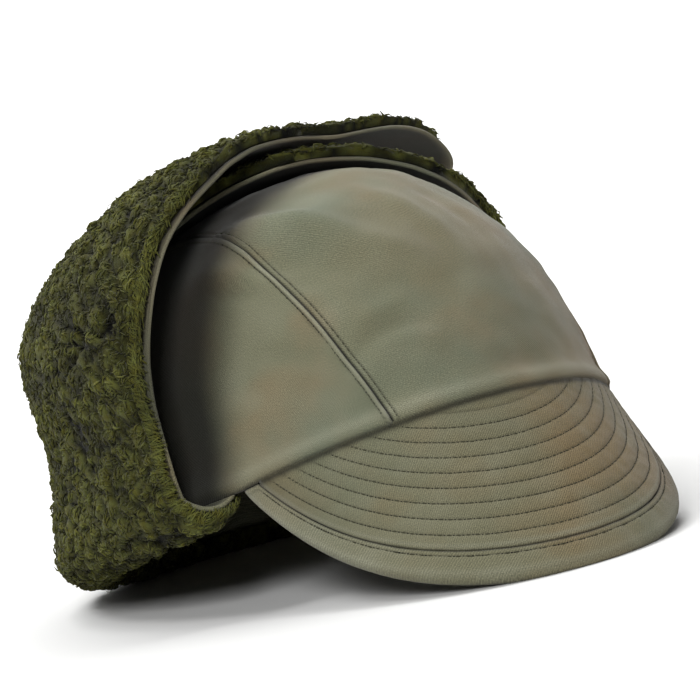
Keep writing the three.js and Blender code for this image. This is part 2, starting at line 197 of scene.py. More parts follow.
def band_point(around):
    around = np.asarray(around, float)
    turn = np.radians(around)
    height = band_height(around)
    length = length_towards(np.cos(turn))
    y = -length * np.cos(turn) + CROWN_LEAN * height / CROWN_HEIGHT
    point = np.stack([HALF_WIDTH * np.sin(turn), y, height], -1)
    outward = np.stack([np.sin(turn) / HALF_WIDTH, -np.cos(turn) / length, 0 * turn], -1)
    return point, unit(outward)


# %% The cap at rest
def fold_centre(radius):
    return np.sqrt((radius + SHELL_CLOTH) ** 2 - FOLD_CENTRE_RISE**2) - CROWN_WALL / 2


droop = math.radians(BILL_DROOP_MIDDLE)
tip_along = -FRONT_LENGTH - BILL_LENGTH * math.cos(droop)
tip_height = -BILL_LENGTH * math.sin(droop) - BILL_THICK * math.cos(droop) / 2
fold_outer = FOLD_RADIUS_BACK + SHELL_CLOTH + CLEARANCE + FOLD_PILE
back_along = BACK_LENGTH + fold_centre(FOLD_RADIUS_BACK)
back_height = BAND_RISE + FOLD_CENTRE_RISE - fold_outer + FOLD_SINK
REST_TILT = math.atan2(back_height - tip_height, back_along - tip_along)
REST_LIFT = tip_along * math.sin(REST_TILT) - tip_height * math.cos(REST_TILT)
TILT_COS, TILT_SIN = math.cos(REST_TILT), math.sin(REST_TILT)


def lean(points):
    """Leans measured points back as the cap lies, still in millimetres."""
    y = points[..., 1] * TILT_COS + points[..., 2] * TILT_SIN
    z = -points[..., 1] * TILT_SIN + points[..., 2] * TILT_COS
    return np.stack([points[..., 0], y, z], -1)


bill_low, bill_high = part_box("bill")
bill_edge = BILL_LENGTH - BILL_HEM - CLEARANCE
edge_along = -FRONT_LENGTH - bill_edge * math.cos(droop)
edge_height = -bill_edge * math.sin(droop)
under_along = edge_along + BILL_THICK * math.sin(droop)
under_height = edge_height - BILL_THICK * math.cos(droop)
edge_corners = np.array([[0, edge_along, edge_height], [0, under_along, under_height]])
edge_y = lean(edge_corners)[:, 1].min()
SHIFT = np.array([(bill_low.x + bill_high.x) / 2, bill_low.y - edge_y * MM, REST_LIFT * MM])


def at_rest(points):
    """Measured points in millimetres become places in the shared frame, in metres."""
    placed = lean(np.asarray(points, float)) * MM + SHIFT
    placed[..., 2] = np.maximum(placed[..., 2], 0)
    return placed


print(f"the cap leans back {math.degrees(REST_TILT):.1f} degrees, shift {SHIFT.round(4)}")

# %% [markdown]
# ## Camera, floor and light
#
# The camera stands a little to the wearer's right and almost level with the cap, rolled so
# that the cap is seen as it sat on a tilted head. It is set up first, because every
# later decision about detail depends on what it sees. The floor is a pale sweep that curves
# up behind, as in a photographer's studio, made by extruding one bent line.

# %% Camera at the photograph's angle
VIEW_AROUND, VIEW_RISE, VIEW_ROLL = 28.0, -11.08, 20.36
VIEW_DISTANCE = 790.0
FOCAL_PIXELS = 2440.4
PICTURE = 700
CENTRE_PIXEL = (360.6, 423.8)
SENSOR = 36.0
LOOK_AT = np.array([0.0, -20.0, 20.0])


def view_axes():
    around, rise, roll = (math.radians(a) for a in (VIEW_AROUND, VIEW_RISE, VIEW_ROLL))
    right = np.array([math.cos(around), -math.sin(around), 0])
    up = np.array([math.sin(around) * math.sin(rise), math.cos(around) * math.sin(rise), math.cos(rise)])
    towards = np.cross(right, up)
    rolled_right = right * math.cos(roll) - up * math.sin(roll)
    rolled_up = right * math.sin(roll) + up * math.cos(roll)
    return rolled_right, rolled_up, towards


def add_camera():
    right, up, towards = view_axes()
    position = at_rest(LOOK_AT + VIEW_DISTANCE * towards)
    aim_x = (PICTURE / 2 - CENTRE_PIXEL[0]) / FOCAL_PIXELS
    aim_y = -(PICTURE / 2 - CENTRE_PIXEL[1]) / FOCAL_PIXELS
    back = unit(lean(towards - right * aim_x - up * aim_y))
    side = unit(np.cross(lean(up), back))
    top = np.cross(back, side)
    data = bpy.data.cameras.new("view")
    data.sensor_width = SENSOR
    data.lens = FOCAL_PIXELS * SENSOR / PICTURE
    data.clip_start, data.clip_end = 0.05, 20
    camera = bpy.data.objects.new("view", data)
    bpy.context.scene.collection.objects.link(camera)
    turn = Matrix(np.column_stack([side, top, back]).tolist()).to_4x4()
    camera.matrix_world = Matrix.Translation(Vector(position)) @ turn
    bpy.context.scene.camera = camera
    return camera


camera = add_camera()
print("camera at", [round(v, 3) for v in camera.matrix_world.translation])

# %% [markdown]
# The floor is one bent line, extruded sideways: level under the cap, curving up far behind
# it. Two broad area lights do the work of a studio's soft boxes, and a pale world fills the
# shadows. Much of the shade on the cloth, in its grooves and beside the flaps, is painted
# into its colour.

# %% Floor and lights
FLOOR_COLOR = (0.62, 0.62, 0.615, 1)
WORLD_COLOR = (1.0, 1.0, 1.0, 1)
WORLD_STRENGTH = 0.14
SWEEP_HALF_WIDTH = 5.0
SWEEP_FRONT, SWEEP_BACK, SWEEP_RADIUS, SWEEP_HEIGHT = -3.0, 1.3, 1.0, 4.0
LIGHTS = [
    {"name": "front", "place": (-0.95, -1.25, 0.85), "aim": (0, 0, 0.05), "size": 0.6, "power": 25},
    {"name": "left", "place": (-0.9, 0.35, 1.6), "aim": (0, 0, 0.08), "size": 0.5, "power": 12},
    {"name": "backdrop", "place": (0.2, 1.0, 2.3), "aim": (1.0, 2.2, 0.4), "size": 2.0, "power": 110},
]


def add_floor():
    """The sweep's line runs away from the camera, so its wall stands square behind the cap."""
    bm = bmesh.new()
    bends = [math.radians(angle) for angle in range(0, 91, 5)]
    line = [(SWEEP_FRONT, 0.0)]
    line += [(SWEEP_BACK + SWEEP_RADIUS * math.sin(a), SWEEP_RADIUS * (1 - math.cos(a))) for a in bends]
    line += [(SWEEP_BACK + SWEEP_RADIUS, SWEEP_HEIGHT)]
    corners = [bm.verts.new((-SWEEP_HALF_WIDTH, along, height)) for along, height in line]
    edges = [bm.edges.new(pair) for pair in zip(corners, corners[1:])]
    swept = bmesh.ops.extrude_edge_only(bm, edges=edges)
    far = [item for item in swept["geom"] if isinstance(item, bmesh.types.BMVert)]
    bmesh.ops.translate(bm, verts=far, vec=(2 * SWEEP_HALF_WIDTH, 0, 0))
    turn = Matrix.Rotation(math.radians(-VIEW_AROUND), 3, "Z")
    bmesh.ops.rotate(bm, verts=bm.verts[:], cent=(0, 0, 0), matrix=turn)
    bmesh.ops.recalc_face_normals(bm, faces=bm.faces[:])
    mesh = bpy.data.meshes.new("floor")
    bm.to_mesh(mesh)
    bm.free()
    for polygon in mesh.polygons:
        polygon.use_smooth = True
    floor = bpy.data.objects.new("floor", mesh)
    bpy.context.scene.collection.objects.link(floor)
    material = bpy.data.materials.new("pale_floor")
    material.use_nodes = True
    shader = material.node_tree.nodes["Principled BSDF"]
    shader.inputs["Base Color"].default_value = FLOOR_COLOR
    shader.inputs["Roughness"].default_value = 0.9
    mesh.materials.append(material)


def add_lights():
    for light in LIGHTS:
        data = bpy.data.lights.new(light["name"], "AREA")
        data.size = light["size"]
        data.energy = light["power"]
        lamp = bpy.data.objects.new(light["name"], data)
        lamp.location = light["place"]
        away = Vector(light["aim"]) - Vector(light["place"])
        lamp.rotation_euler = away.to_track_quat("-Z", "Y").to_euler()
        bpy.context.scene.collection.objects.link(lamp)
    world = bpy.data.worlds.new("studio")
    world.use_nodes = True
    background = world.node_tree.nodes["Background"]
    background.inputs["Color"].default_value = WORLD_COLOR
    background.inputs["Strength"].default_value = WORLD_STRENGTH
    bpy.context.scene.world = world
    bpy.context.scene.view_settings.view_transform = "Standard"


add_floor()
add_lights()

# %% [markdown]
# ## Cloth and pile as materials
#
# Sateen and twill show fine slanting ribs, a slight mottling where the dye has worn, and
# paler edges where the cloth is rubbed. All olive pieces share that, so it is one node
# group with its colours as inputs. The ribs follow the cloth's own UV map, measured in
# metres, so they run with the cut of each piece and keep one size everywhere.


# %% A helper for node trees
def add_node(tree, kind, **settings):
    node = tree.nodes.new(kind)
    for name, value in settings.items():
        if hasattr(node, name):
            setattr(node, name, value)
        else:
            node.inputs[name.replace("_", " ")].default_value = value
    return node


def join_nodes(tree, *pairs):
    for output, socket in pairs:
        tree.links.new(output, socket)


def new_group(name, inputs, outputs):
    group = bpy.data.node_groups.new(name, "ShaderNodeTree")
    for label, kind, value in inputs:
        socket = group.interface.new_socket(label, in_out="INPUT", socket_type=kind)
        if value is not None:
            socket.default_value = value
    for label, kind in outputs:
        group.interface.new_socket(label, in_out="OUTPUT", socket_type=kind)
    return group, group.nodes.new("NodeGroupInput"), group.nodes.new("NodeGroupOutput")


# %% [markdown]
# The weave group works in millimetres: it scales the UV map by a thousand, draws the ribs
# with a wave texture that noise bends a little, and mixes three tones by large soft noise.

# %% The woven cloth group
RIB_SCALE = 0.74
GRAIN_SCALE = 2.7


def make_weave_group():
    group, given, result = new_group(
        "woven_cloth",
        [
            ("UV", "NodeSocketVector", None),
            ("Place", "NodeSocketVector", None),
            ("Main", "NodeSocketColor", (0.2, 0.2, 0.14, 1)),
            ("Warm", "NodeSocketColor", (0.22, 0.18, 0.12, 1)),
            ("Cool", "NodeSocketColor", (0.14, 0.16, 0.11, 1)),
            ("Rubbed", "NodeSocketColor", (0.3, 0.3, 0.24, 1)),
            ("Wear", "NodeSocketFloat", 0.0),
            ("PaintedShade", "NodeSocketFloat", 0.0),
            ("Depth", "NodeSocketFloat", 0.5),
        ],
        [("Color", "NodeSocketColor"), ("Roughness", "NodeSocketFloat"), ("Normal", "NodeSocketVector")],
    )
    grid = add_node(group, "ShaderNodeVectorMath", operation="SCALE")
    grid.inputs["Scale"].default_value = 1 / MM
    ribs = add_node(group, "ShaderNodeTexWave", bands_direction="DIAGONAL", Scale=RIB_SCALE, Distortion=1.2)
    ribs.inputs["Detail"].default_value = 1
    ribs.inputs["Detail Scale"].default_value = 1.5
    grain = add_node(group, "ShaderNodeTexNoise", Scale=GRAIN_SCALE, Detail=3.0)
    warm_patch = add_node(group, "ShaderNodeTexNoise", Scale=26.0, Detail=3.0)
    cool_patch = add_node(group, "ShaderNodeTexNoise", Scale=17.0, Detail=4.0)
    shift = add_node(group, "ShaderNodeVectorMath", operation="ADD")
    shift.inputs[1].default_value = (3.1, 1.7, 5.3)
    warm_range = add_node(group, "ShaderNodeMapRange", From_Min=0.48, From_Max=0.72, To_Max=0.75)
    cool_range = add_node(group, "ShaderNodeMapRange", From_Min=0.45, From_Max=0.7, To_Max=0.8)
    sides = add_node(group, "ShaderNodeSeparateXYZ")
    # Besides the noise, the cloth turns warmer along X, by its position.
    warmer_along_x = add_node(group, "ShaderNodeMapRange", From_Min=-0.03, From_Max=0.06, To_Max=0.7)
    warmth = add_node(group, "ShaderNodeMath", operation="ADD", use_clamp=True)
    warm_mix = add_node(group, "ShaderNodeMix", data_type="RGBA")
    cool_mix = add_node(group, "ShaderNodeMix", data_type="RGBA")
    wear_mix = add_node(group, "ShaderNodeMix", data_type="RGBA")
    grain_range = add_node(group, "ShaderNodeMapRange", From_Min=0.3, From_Max=0.7, To_Min=0.6, To_Max=1.42)
    rib_range = add_node(group, "ShaderNodeMapRange", To_Min=0.86, To_Max=1.1)
    shade = add_node(group, "ShaderNodeMath", operation="MULTIPLY")
    # Painted shade: the groove attribute darkens the colour to as little as 0.08 of itself in seams, stitch
    # lines and crevices, beside the flaps and on the flaps' hidden side.
    groove = add_node(group, "ShaderNodeMapRange", To_Min=1.0, To_Max=0.08)
    lit = add_node(group, "ShaderNodeMath", operation="MULTIPLY")
    tone = add_node(group, "ShaderNodeVectorMath", operation="SCALE")
    rough = add_node(group, "ShaderNodeMapRange", From_Min=0.3, From_Max=0.7, To_Min=0.78, To_Max=0.95)
    rib_height = add_node(group, "ShaderNodeMath", operation="MULTIPLY")
    height = add_node(group, "ShaderNodeMath", operation="MULTIPLY_ADD")
    height.inputs[1].default_value = 0.6
    bump = add_node(group, "ShaderNodeBump", Distance=0.00018)
    rgba = {"A": 6, "B": 7}
    join_nodes(
        group,
        (given.outputs["UV"], grid.inputs[0]),
        (grid.outputs[0], ribs.inputs["Vector"]),
        (grid.outputs[0], grain.inputs["Vector"]),
        (given.outputs["Place"], warm_patch.inputs["Vector"]),
        (given.outputs["Place"], shift.inputs[0]),
        (shift.outputs[0], cool_patch.inputs["Vector"]),
        (warm_patch.outputs[0], warm_range.inputs["Value"]),
        (cool_patch.outputs[0], cool_range.inputs["Value"]),
        (given.outputs["Place"], sides.inputs[0]),
        (sides.outputs["X"], warmer_along_x.inputs["Value"]),
        (warm_range.outputs[0], warmth.inputs[0]),
        (warmer_along_x.outputs[0], warmth.inputs[1]),
        (warmth.outputs[0], warm_mix.inputs["Factor"]),
        (given.outputs["Main"], warm_mix.inputs[rgba["A"]]),
        (given.outputs["Warm"], warm_mix.inputs[rgba["B"]]),
        (cool_range.outputs[0], cool_mix.inputs["Factor"]),
        (warm_mix.outputs[2], cool_mix.inputs[rgba["A"]]),
        (given.outputs["Cool"], cool_mix.inputs[rgba["B"]]),
        (given.outputs["Wear"], wear_mix.inputs["Factor"]),
        (cool_mix.outputs[2], wear_mix.inputs[rgba["A"]]),
        (given.outputs["Rubbed"], wear_mix.inputs[rgba["B"]]),
        (grain.outputs[0], grain_range.inputs["Value"]),
        (ribs.outputs["Fac"], rib_range.inputs["Value"]),
        (grain_range.outputs[0], shade.inputs[0]),
        (rib_range.outputs[0], shade.inputs[1]),
        (wear_mix.outputs[2], tone.inputs[0]),
        (given.outputs["PaintedShade"], groove.inputs["Value"]),
        (shade.outputs[0], lit.inputs[0]),
        (groove.outputs[0], lit.inputs[1]),
        (lit.outputs[0], tone.inputs["Scale"]),
        (grain.outputs[0], rough.inputs["Value"]),
        (grain.outputs[0], height.inputs[0]),
        (ribs.outputs["Fac"], rib_height.inputs[0]),
        (rib_height.outputs[0], height.inputs[2]),
        (given.outputs["Depth"], bump.inputs["Strength"]),
        (height.outputs[0], bump.inputs["Height"]),
        (tone.outputs[0], result.inputs["Color"]),
        (rough.outputs[0], result.inputs["Roughness"]),
        (bump.outputs[0], result.inputs["Normal"]),
    )
    rib_height.inputs[1].default_value = 0.8
    return group


WEAVE = make_weave_group()


def cloth_material(name, main, warm, cool, rubbed, depth=0.6):
    material = bpy.data.materials.new(name)
    material.use_nodes = True
    tree = material.node_tree
    shader = tree.nodes["Principled BSDF"]
    shader.inputs["Sheen Weight"].default_value = 0.12
    shader.inputs["Sheen Roughness"].default_value = 0.45
    shader.inputs["Specular IOR Level"].default_value = 0.25
    weave = add_node(tree, "ShaderNodeGroup")
    weave.node_tree = WEAVE
    for label, color in (("Main", main), ("Warm", warm), ("Cool", cool), ("Rubbed", rubbed)):
        weave.inputs[label].default_value = (*color, 1)
    weave.inputs["Depth"].default_value = depth
    cut = add_node(tree, "ShaderNodeUVMap", uv_map="cloth")
    place = add_node(tree, "ShaderNodeTexCoord")
    wear = add_node(tree, "ShaderNodeAttribute", attribute_name="wear")
    # The groove attribute brings the painted shade into the cloth's colour.
    groove = add_node(tree, "ShaderNodeAttribute", attribute_name="groove")
    join_nodes(
        tree,
        (cut.outputs["UV"], weave.inputs["UV"]),
        (place.outputs["Object"], weave.inputs["Place"]),
        (wear.outputs["Fac"], weave.inputs["Wear"]),
        (groove.outputs["Fac"], weave.inputs["PaintedShade"]),
        (weave.outputs["Color"], shader.inputs["Base Color"]),
        (weave.outputs["Roughness"], shader.inputs["Roughness"]),
        (weave.outputs["Normal"], shader.inputs["Normal"]),
    )
    return material


CROWN_CLOTH_FINISH = cloth_material(
    "olive_sateen", (0.128, 0.128, 0.079), (0.165, 0.118, 0.062), (0.095, 0.116, 0.08), (0.24, 0.24, 0.175)
)
BILL_CLOTH_FINISH = cloth_material(
    "bill_sateen", (0.112, 0.108, 0.064), (0.135, 0.1, 0.048), (0.096, 0.104, 0.066), (0.18, 0.18, 0.13)
)

# %% [markdown]
# Wool pile is darker in its depths than at the tips of its curls, because little light gets
# down there. The material takes an attribute that says how deep a point lies, and noise
# that shifts each curl between a yellower and a greyer olive.


# %% The pile's material
def pile_material(name, tip, grey, pit):
    material = bpy.data.materials.new(name)
    material.use_nodes = True
    tree = material.node_tree
    shader = tree.nodes["Principled BSDF"]
    shader.inputs["Roughness"].default_value = 0.9
    shader.inputs["Specular IOR Level"].default_value = 0.08
    shader.inputs["Sheen Weight"].default_value = 0.06
    shader.inputs["Sheen Roughness"].default_value = 0.5
    place = add_node(tree, "ShaderNodeTexCoord")
    tuft = add_node(tree, "ShaderNodeTexNoise", Scale=420.0, Detail=2.0)
    patch = add_node(tree, "ShaderNodeTexNoise", Scale=55.0, Detail=2.0)
    fibre = add_node(tree, "ShaderNodeTexNoise", Scale=2600.0, Detail=2.0)
    depth = add_node(tree, "ShaderNodeAttribute", attribute_name="depth")
    curl = add_node(tree, "ShaderNodeAttribute", attribute_name="tone")
    curl_range = add_node(tree, "ShaderNodeMapRange", To_Min=0.78, To_Max=1.22)
    shade = add_node(tree, "ShaderNodeMath", operation="MULTIPLY")
    tuft_range = add_node(tree, "ShaderNodeMapRange", From_Min=0.35, From_Max=0.65)
    patch_range = add_node(tree, "ShaderNodeMapRange", From_Min=0.35, From_Max=0.65, To_Min=0.72, To_Max=1.2)
    hue = add_node(tree, "ShaderNodeMix", data_type="RGBA")
    hue.inputs[6].default_value = (*tip, 1)
    hue.inputs[7].default_value = (*grey, 1)
    dark = add_node(tree, "ShaderNodeMix", data_type="RGBA")
    dark.inputs[7].default_value = (*pit, 1)
    tone = add_node(tree, "ShaderNodeVectorMath", operation="SCALE")
    bump = add_node(tree, "ShaderNodeBump", Distance=0.0004, Strength=0.9)
    join_nodes(
        tree,
        (place.outputs["Object"], tuft.inputs["Vector"]),
        (place.outputs["Object"], patch.inputs["Vector"]),
        (place.outputs["Object"], fibre.inputs["Vector"]),
        (tuft.outputs[0], tuft_range.inputs["Value"]),
        (patch.outputs[0], patch_range.inputs["Value"]),
        (tuft_range.outputs[0], hue.inputs["Factor"]),
        (hue.outputs[2], dark.inputs[6]),
        (depth.outputs["Fac"], dark.inputs["Factor"]),
        (dark.outputs[2], tone.inputs[0]),
        (curl.outputs["Fac"], curl_range.inputs["Value"]),
        (curl_range.outputs[0], shade.inputs[0]),
        (patch_range.outputs[0], shade.inputs[1]),
        (shade.outputs[0], tone.inputs["Scale"]),
        (tone.outputs[0], shader.inputs["Base Color"]),
        (fibre.outputs[0], bump.inputs["Height"]),
        (bump.outputs[0], shader.inputs["Normal"]),
    )
    return material


PILE_FINISH = pile_material("olive_pile", (0.08, 0.077, 0.012), (0.092, 0.1, 0.024), (0.002, 0.002, 0.001))

# %% [markdown]
# The thread is a plain dark olive. Where a stitch goes into the cloth the needle has left a
# hole, and its shade is painted: an attribute turns the thread almost black there. The hook
# tape on the fastener is a fine regular weave, which nobody sees unless the flaps are let down.


# %% Thread and hook tape
def thread_material():
    material = bpy.data.materials.new("olive_thread")
    material.use_nodes = True
    tree = material.node_tree
    shader = tree.nodes["Principled BSDF"]
    shader.inputs["Roughness"].default_value = 0.8
    shader.inputs["Specular IOR Level"].default_value = 0.2
    # Painted shade: the thread turns almost black where it marks a needle hole.
    hole_shade = add_node(tree, "ShaderNodeAttribute", attribute_name="hole_shade")
    blend = add_node(tree, "ShaderNodeMix", data_type="RGBA")
    blend.inputs[6].default_value = (0.036, 0.035, 0.02, 1)
    blend.inputs[7].default_value = (0.004, 0.004, 0.003, 1)
    join_nodes(
        tree,
        (hole_shade.outputs["Fac"], blend.inputs["Factor"]),
        (blend.outputs[2], shader.inputs["Base Color"]),
    )
    return material


def tape_material():
    material = bpy.data.materials.new("hook_tape")
    material.use_nodes = True
    tree = material.node_tree
    shader = tree.nodes["Principled BSDF"]
    shader.inputs["Base Color"].default_value = (0.05, 0.05, 0.03, 1)
    shader.inputs["Roughness"].default_value = 0.85
    place = add_node(tree, "ShaderNodeTexCoord")
    hooks = add_node(tree, "ShaderNodeTexVoronoi", Scale=900.0)
    bump = add_node(tree, "ShaderNodeBump", Distance=0.0003)
    join_nodes(
        tree,
        (place.outputs["Object"], hooks.inputs["Vector"]),
        (hooks.outputs["Distance"], bump.inputs["Height"]),
        (bump.outputs[0], shader.inputs["Normal"]),
    )
    return material


THREAD_FINISH = thread_material()
TAPE_FINISH = tape_material()

# %% [markdown]
# ## Laying a fine sheet
#
# Every cloth piece starts as Blender's own grid. One function says where the middle of the
# cloth runs; from that the helper measures how far each point lies from the four edges, in
# millimetres, and a second function uses those distances to place the two faces. The cloth
# can so have a stitched groove two millimetres from its edge wherever the edge runs. The
# same distances become the UV map, so the weave keeps one size on every piece.


# %% The sheet helper
def steps_along(points, axis):
    lengths = np.linalg.norm(np.diff(points, axis=axis), axis=-1)
    start = np.zeros_like(np.take(lengths, [0], axis=axis))
    return np.cumsum(np.concatenate([start, lengths], axis=axis), axis=axis)


def grid_area(points):
    diagonals = points[1:, 1:] - points[:-1, :-1], points[1:, :-1] - points[:-1, 1:]
    return float(np.linalg.norm(np.cross(*diagonals), axis=-1).sum() / 2)


def spread_shares(segments, edge=0.0, edge_segments=0):
    """Shares from 0 to 1, with smaller steps within a given share of both ends."""
    if not edge_segments:
        return np.linspace(0, 1, segments + 1)
    start = np.linspace(0, edge, edge_segments + 1)[:-1]
    middle = np.linspace(edge, 1 - edge, segments - 2 * edge_segments + 1)
    return np.concatenate([start, middle, 1 - start[::-1]])


def lay_sheet(name, across, along, middle, faces, masks=None):
    """A closed sheet: its middle, its two faces and its masks are functions of the shares."""
    columns, rows = len(across) - 1, len(along) - 1
    bm = bmesh.new()
    bmesh.ops.create_grid(bm, x_segments=columns, y_segments=rows, size=0.5)
    spots = np.array([vertex.co[:2] for vertex in bm.verts]) + 0.5
    column = np.rint(spots[:, 0] * columns).astype(int)
    row = np.rint(spots[:, 1] * rows).astype(int)
    u, v = across[column], along[row]
    whole = np.zeros((rows + 1, columns + 1, 3))
    whole[row, column] = middle(u, v)
    level, climb = steps_along(whole, 1), steps_along(whole, 0)
    near = {
        "left": level[row, column],
        "right": (level[:, -1:] - level)[row, column],
        "bottom": climb[row, column],
        "top": (climb[-1:] - climb)[row, column],
    }
    centred = level - level[:, columns // 2 : columns // 2 + 1]
    cut = np.stack([centred[row, column], near["bottom"]], -1) * MM
    outer, inner = (at_rest(side) for side in faces(u, v, near))
    borders = [edge for edge in bm.edges if edge.is_boundary]
    count = len(u)
    bmesh.ops.duplicate(bm, geom=bm.verts[:] + bm.edges[:] + bm.faces[:])
    bm.verts.ensure_lookup_table()
    bm.verts.index_update()
    for edge in borders:
        one, other = (vertex.index for vertex in edge.verts)
        bm.faces.new([bm.verts[i] for i in (one, other, other + count, one + count)])
    chart = bm.loops.layers.uv.new("cloth")
    layers = {label: bm.verts.layers.float.new(label) for label in masks or {}}
    values = {label: mask(u, v, near) for label, mask in (masks or {}).items()}
    for index, vertex in enumerate(bm.verts):
        spot = index % count
        vertex.co = (outer if index < count else inner)[spot]
        for loop in vertex.link_loops:
            loop[chart].uv = cut[spot]
        for label, layer in layers.items():
            vertex[layer] = values[label][spot]
    bmesh.ops.remove_doubles(bm, verts=bm.verts[:], dist=1e-6)
    bmesh.ops.recalc_face_normals(bm, faces=bm.faces[:])
    mesh = bpy.data.meshes.new(name)
    bm.to_mesh(mesh)
    bm.free()
    return mesh, {
        "flat": (float(level[:, -1].max()) * MM, float(climb[-1].max()) * MM),
        "area": grid_area(whole) * MM**2,
    }


def add_piece(name, mesh, material, slot, *nodes):
    for polygon in mesh.polygons:
        polygon.use_smooth = True
    mesh.materials.append(material)
    piece = bpy.data.objects.new(name, mesh)
    bpy.context.scene.collection.objects.link(piece)
    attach(piece, "root")
    if nodes:
        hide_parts(*nodes)
    low, high = np.array(piece.bound_box).min(0), np.array(piece.bound_box).max(0)
    print(f"{name}: {len(mesh.polygons)} faces, {low.round(4)} to {high.round(4)}")
    return piece


def speckle(points, size, seed=0.0):
    """Smooth noise from -1 to 1 at each point, with features of a given size."""
    shift = Vector((seed, seed * 1.7, -seed))
    return np.array([noise.noise(Vector(point) / size + shift) for point in points])


def ridge(distance, place, width):
    """A smooth bump round one distance."""
    return np.exp(-(((distance - place) / width) ** 2))


# %% [markdown]
# Stitches, curls of wool and loose fibres are all short bent tubes. There are thousands, so
# they are built together: one array holds every centre line, and the rings round all of
# them are worked out at once and joined into a single mesh.


# %% Many short tubes in one mesh
def tube_mesh(name, lines, radii, upright, sides=3, masks=None):
    """lines is (tubes, points, 3) in metres; radii (tubes, points); upright (tubes, 3)."""
    tubes, points = lines.shape[:2]
    ahead = unit(np.gradient(lines, axis=1))
    side = unit(np.cross(ahead, upright[:, None, :]))
    over = np.cross(side, ahead)
    angles = np.arange(sides) / sides * 2 * np.pi
    spokes = side[:, :, None] * np.cos(angles)[:, None] + over[:, :, None] * np.sin(angles)[:, None]
    rings = lines[:, :, None] + spokes * radii[:, :, None, None]
    rings[..., 2] = np.maximum(rings[..., 2], 0)
    step, turn = np.meshgrid(np.arange(points - 1), np.arange(sides), indexing="ij")
    after = (turn + 1) % sides
    corners = [step * sides + turn, step * sides + after]
    corners += [(step + 1) * sides + after, (step + 1) * sides + turn]
    walls = np.stack(corners, -1).reshape(-1, 4)
    start = np.arange(tubes)[:, None, None] * points * sides
    quads = (walls[None] + start).reshape(-1, 4)
    first = (np.arange(sides)[::-1][None] + start[:, 0]).tolist()
    last = (np.arange(sides)[None] + (points - 1) * sides + start[:, 0]).tolist()
    mesh = bpy.data.meshes.new(name)
    mesh.from_pydata(rings.reshape(-1, 3).tolist(), [], quads.tolist() + first + last)
    for label, values in (masks or {}).items():
        attribute = mesh.attributes.new(label, "FLOAT", "POINT")
        each = np.repeat(np.broadcast_to(values, (tubes, points)), sides)
        attribute.data.foreach_set("value", each.astype(np.float32))
    return mesh


# %% [markdown]
# A row of stitches follows any line on a piece. Each stitch is a short tube that dips into
# the cloth at both ends, and between two stitches sits an almost black tube, painted shade
# for the needle hole that they share.

# %% Rows of stitches
STITCH_PITCH, STITCH_LENGTH = 2.7, 2.1
STITCH_RADIUS, HOLE_RADIUS, HOLE_LENGTH = 0.18, 0.34, 0.5


def along_line(points, places):
    """The points at given distances along a line, which is measured in the same unit."""
    distance = np.concatenate([[0], np.cumsum(np.linalg.norm(np.diff(points, axis=0), axis=1))])
    return np.stack([np.interp(places, distance, points[:, axis]) for axis in range(3)], -1)


def stitch_tubes(points, normals):
    """The centre lines, radii, uprights and hole marks of one row; points in metres."""
    length = np.linalg.norm(np.diff(points, axis=0), axis=1).sum() / MM
    starts = np.arange(STITCH_PITCH / 2, length - STITCH_PITCH, STITCH_PITCH)
    distance = np.concatenate([[0], np.cumsum(np.linalg.norm(np.diff(points, axis=0), axis=1))])
    lines, radii, ups, holes = [], [], [], []
    for reach, radius, sink, hole_shade in (
        (STITCH_LENGTH, STITCH_RADIUS, (-0.2, 0.1, 0.1, -0.2), 0.0),
        (HOLE_LENGTH, HOLE_RADIUS, (-0.22, -0.12, -0.12, -0.22), 1.0),
    ):
        centre = starts + (STITCH_LENGTH / 2 if hole_shade == 0 else -(STITCH_PITCH - STITCH_LENGTH) / 2)
        places = (centre[:, None] + np.linspace(-0.5, 0.5, 4)[None] * reach) * MM
        row = along_line(points, places)
        up = unit(np.stack([np.interp(centre * MM, distance, normals[:, axis]) for axis in range(3)], -1))
        row = row + up[:, None] * (np.array(sink) * MM)[None, :, None]
        lines.append(row)
        radii.append(np.full(row.shape[:2], radius * MM) * np.array([0.6, 1, 1, 0.6]))
        ups.append(up)
        holes.append(np.full(row.shape[:2], hole_shade))
    return [np.concatenate(part) for part in (lines, radii, ups, holes)]


def sew(name, rows, slot):
    lines, radii, ups, holes = (np.concatenate(part) for part in zip(*(stitch_tubes(*row) for row in rows)))
    mesh = tube_mesh(name, lines, radii, ups, 4, {"hole_shade": holes})
    return add_piece(name, mesh, THREAD_FINISH, slot)


# %% [markdown]
# ## The crown's three panels
#
# Two curved seams run from the band at the front, over the top, to the band at the back.
# Beside each seam the allowance is pressed towards the side panel, which raises a narrow
# strip there, and a row of stitches holds it down on either side.

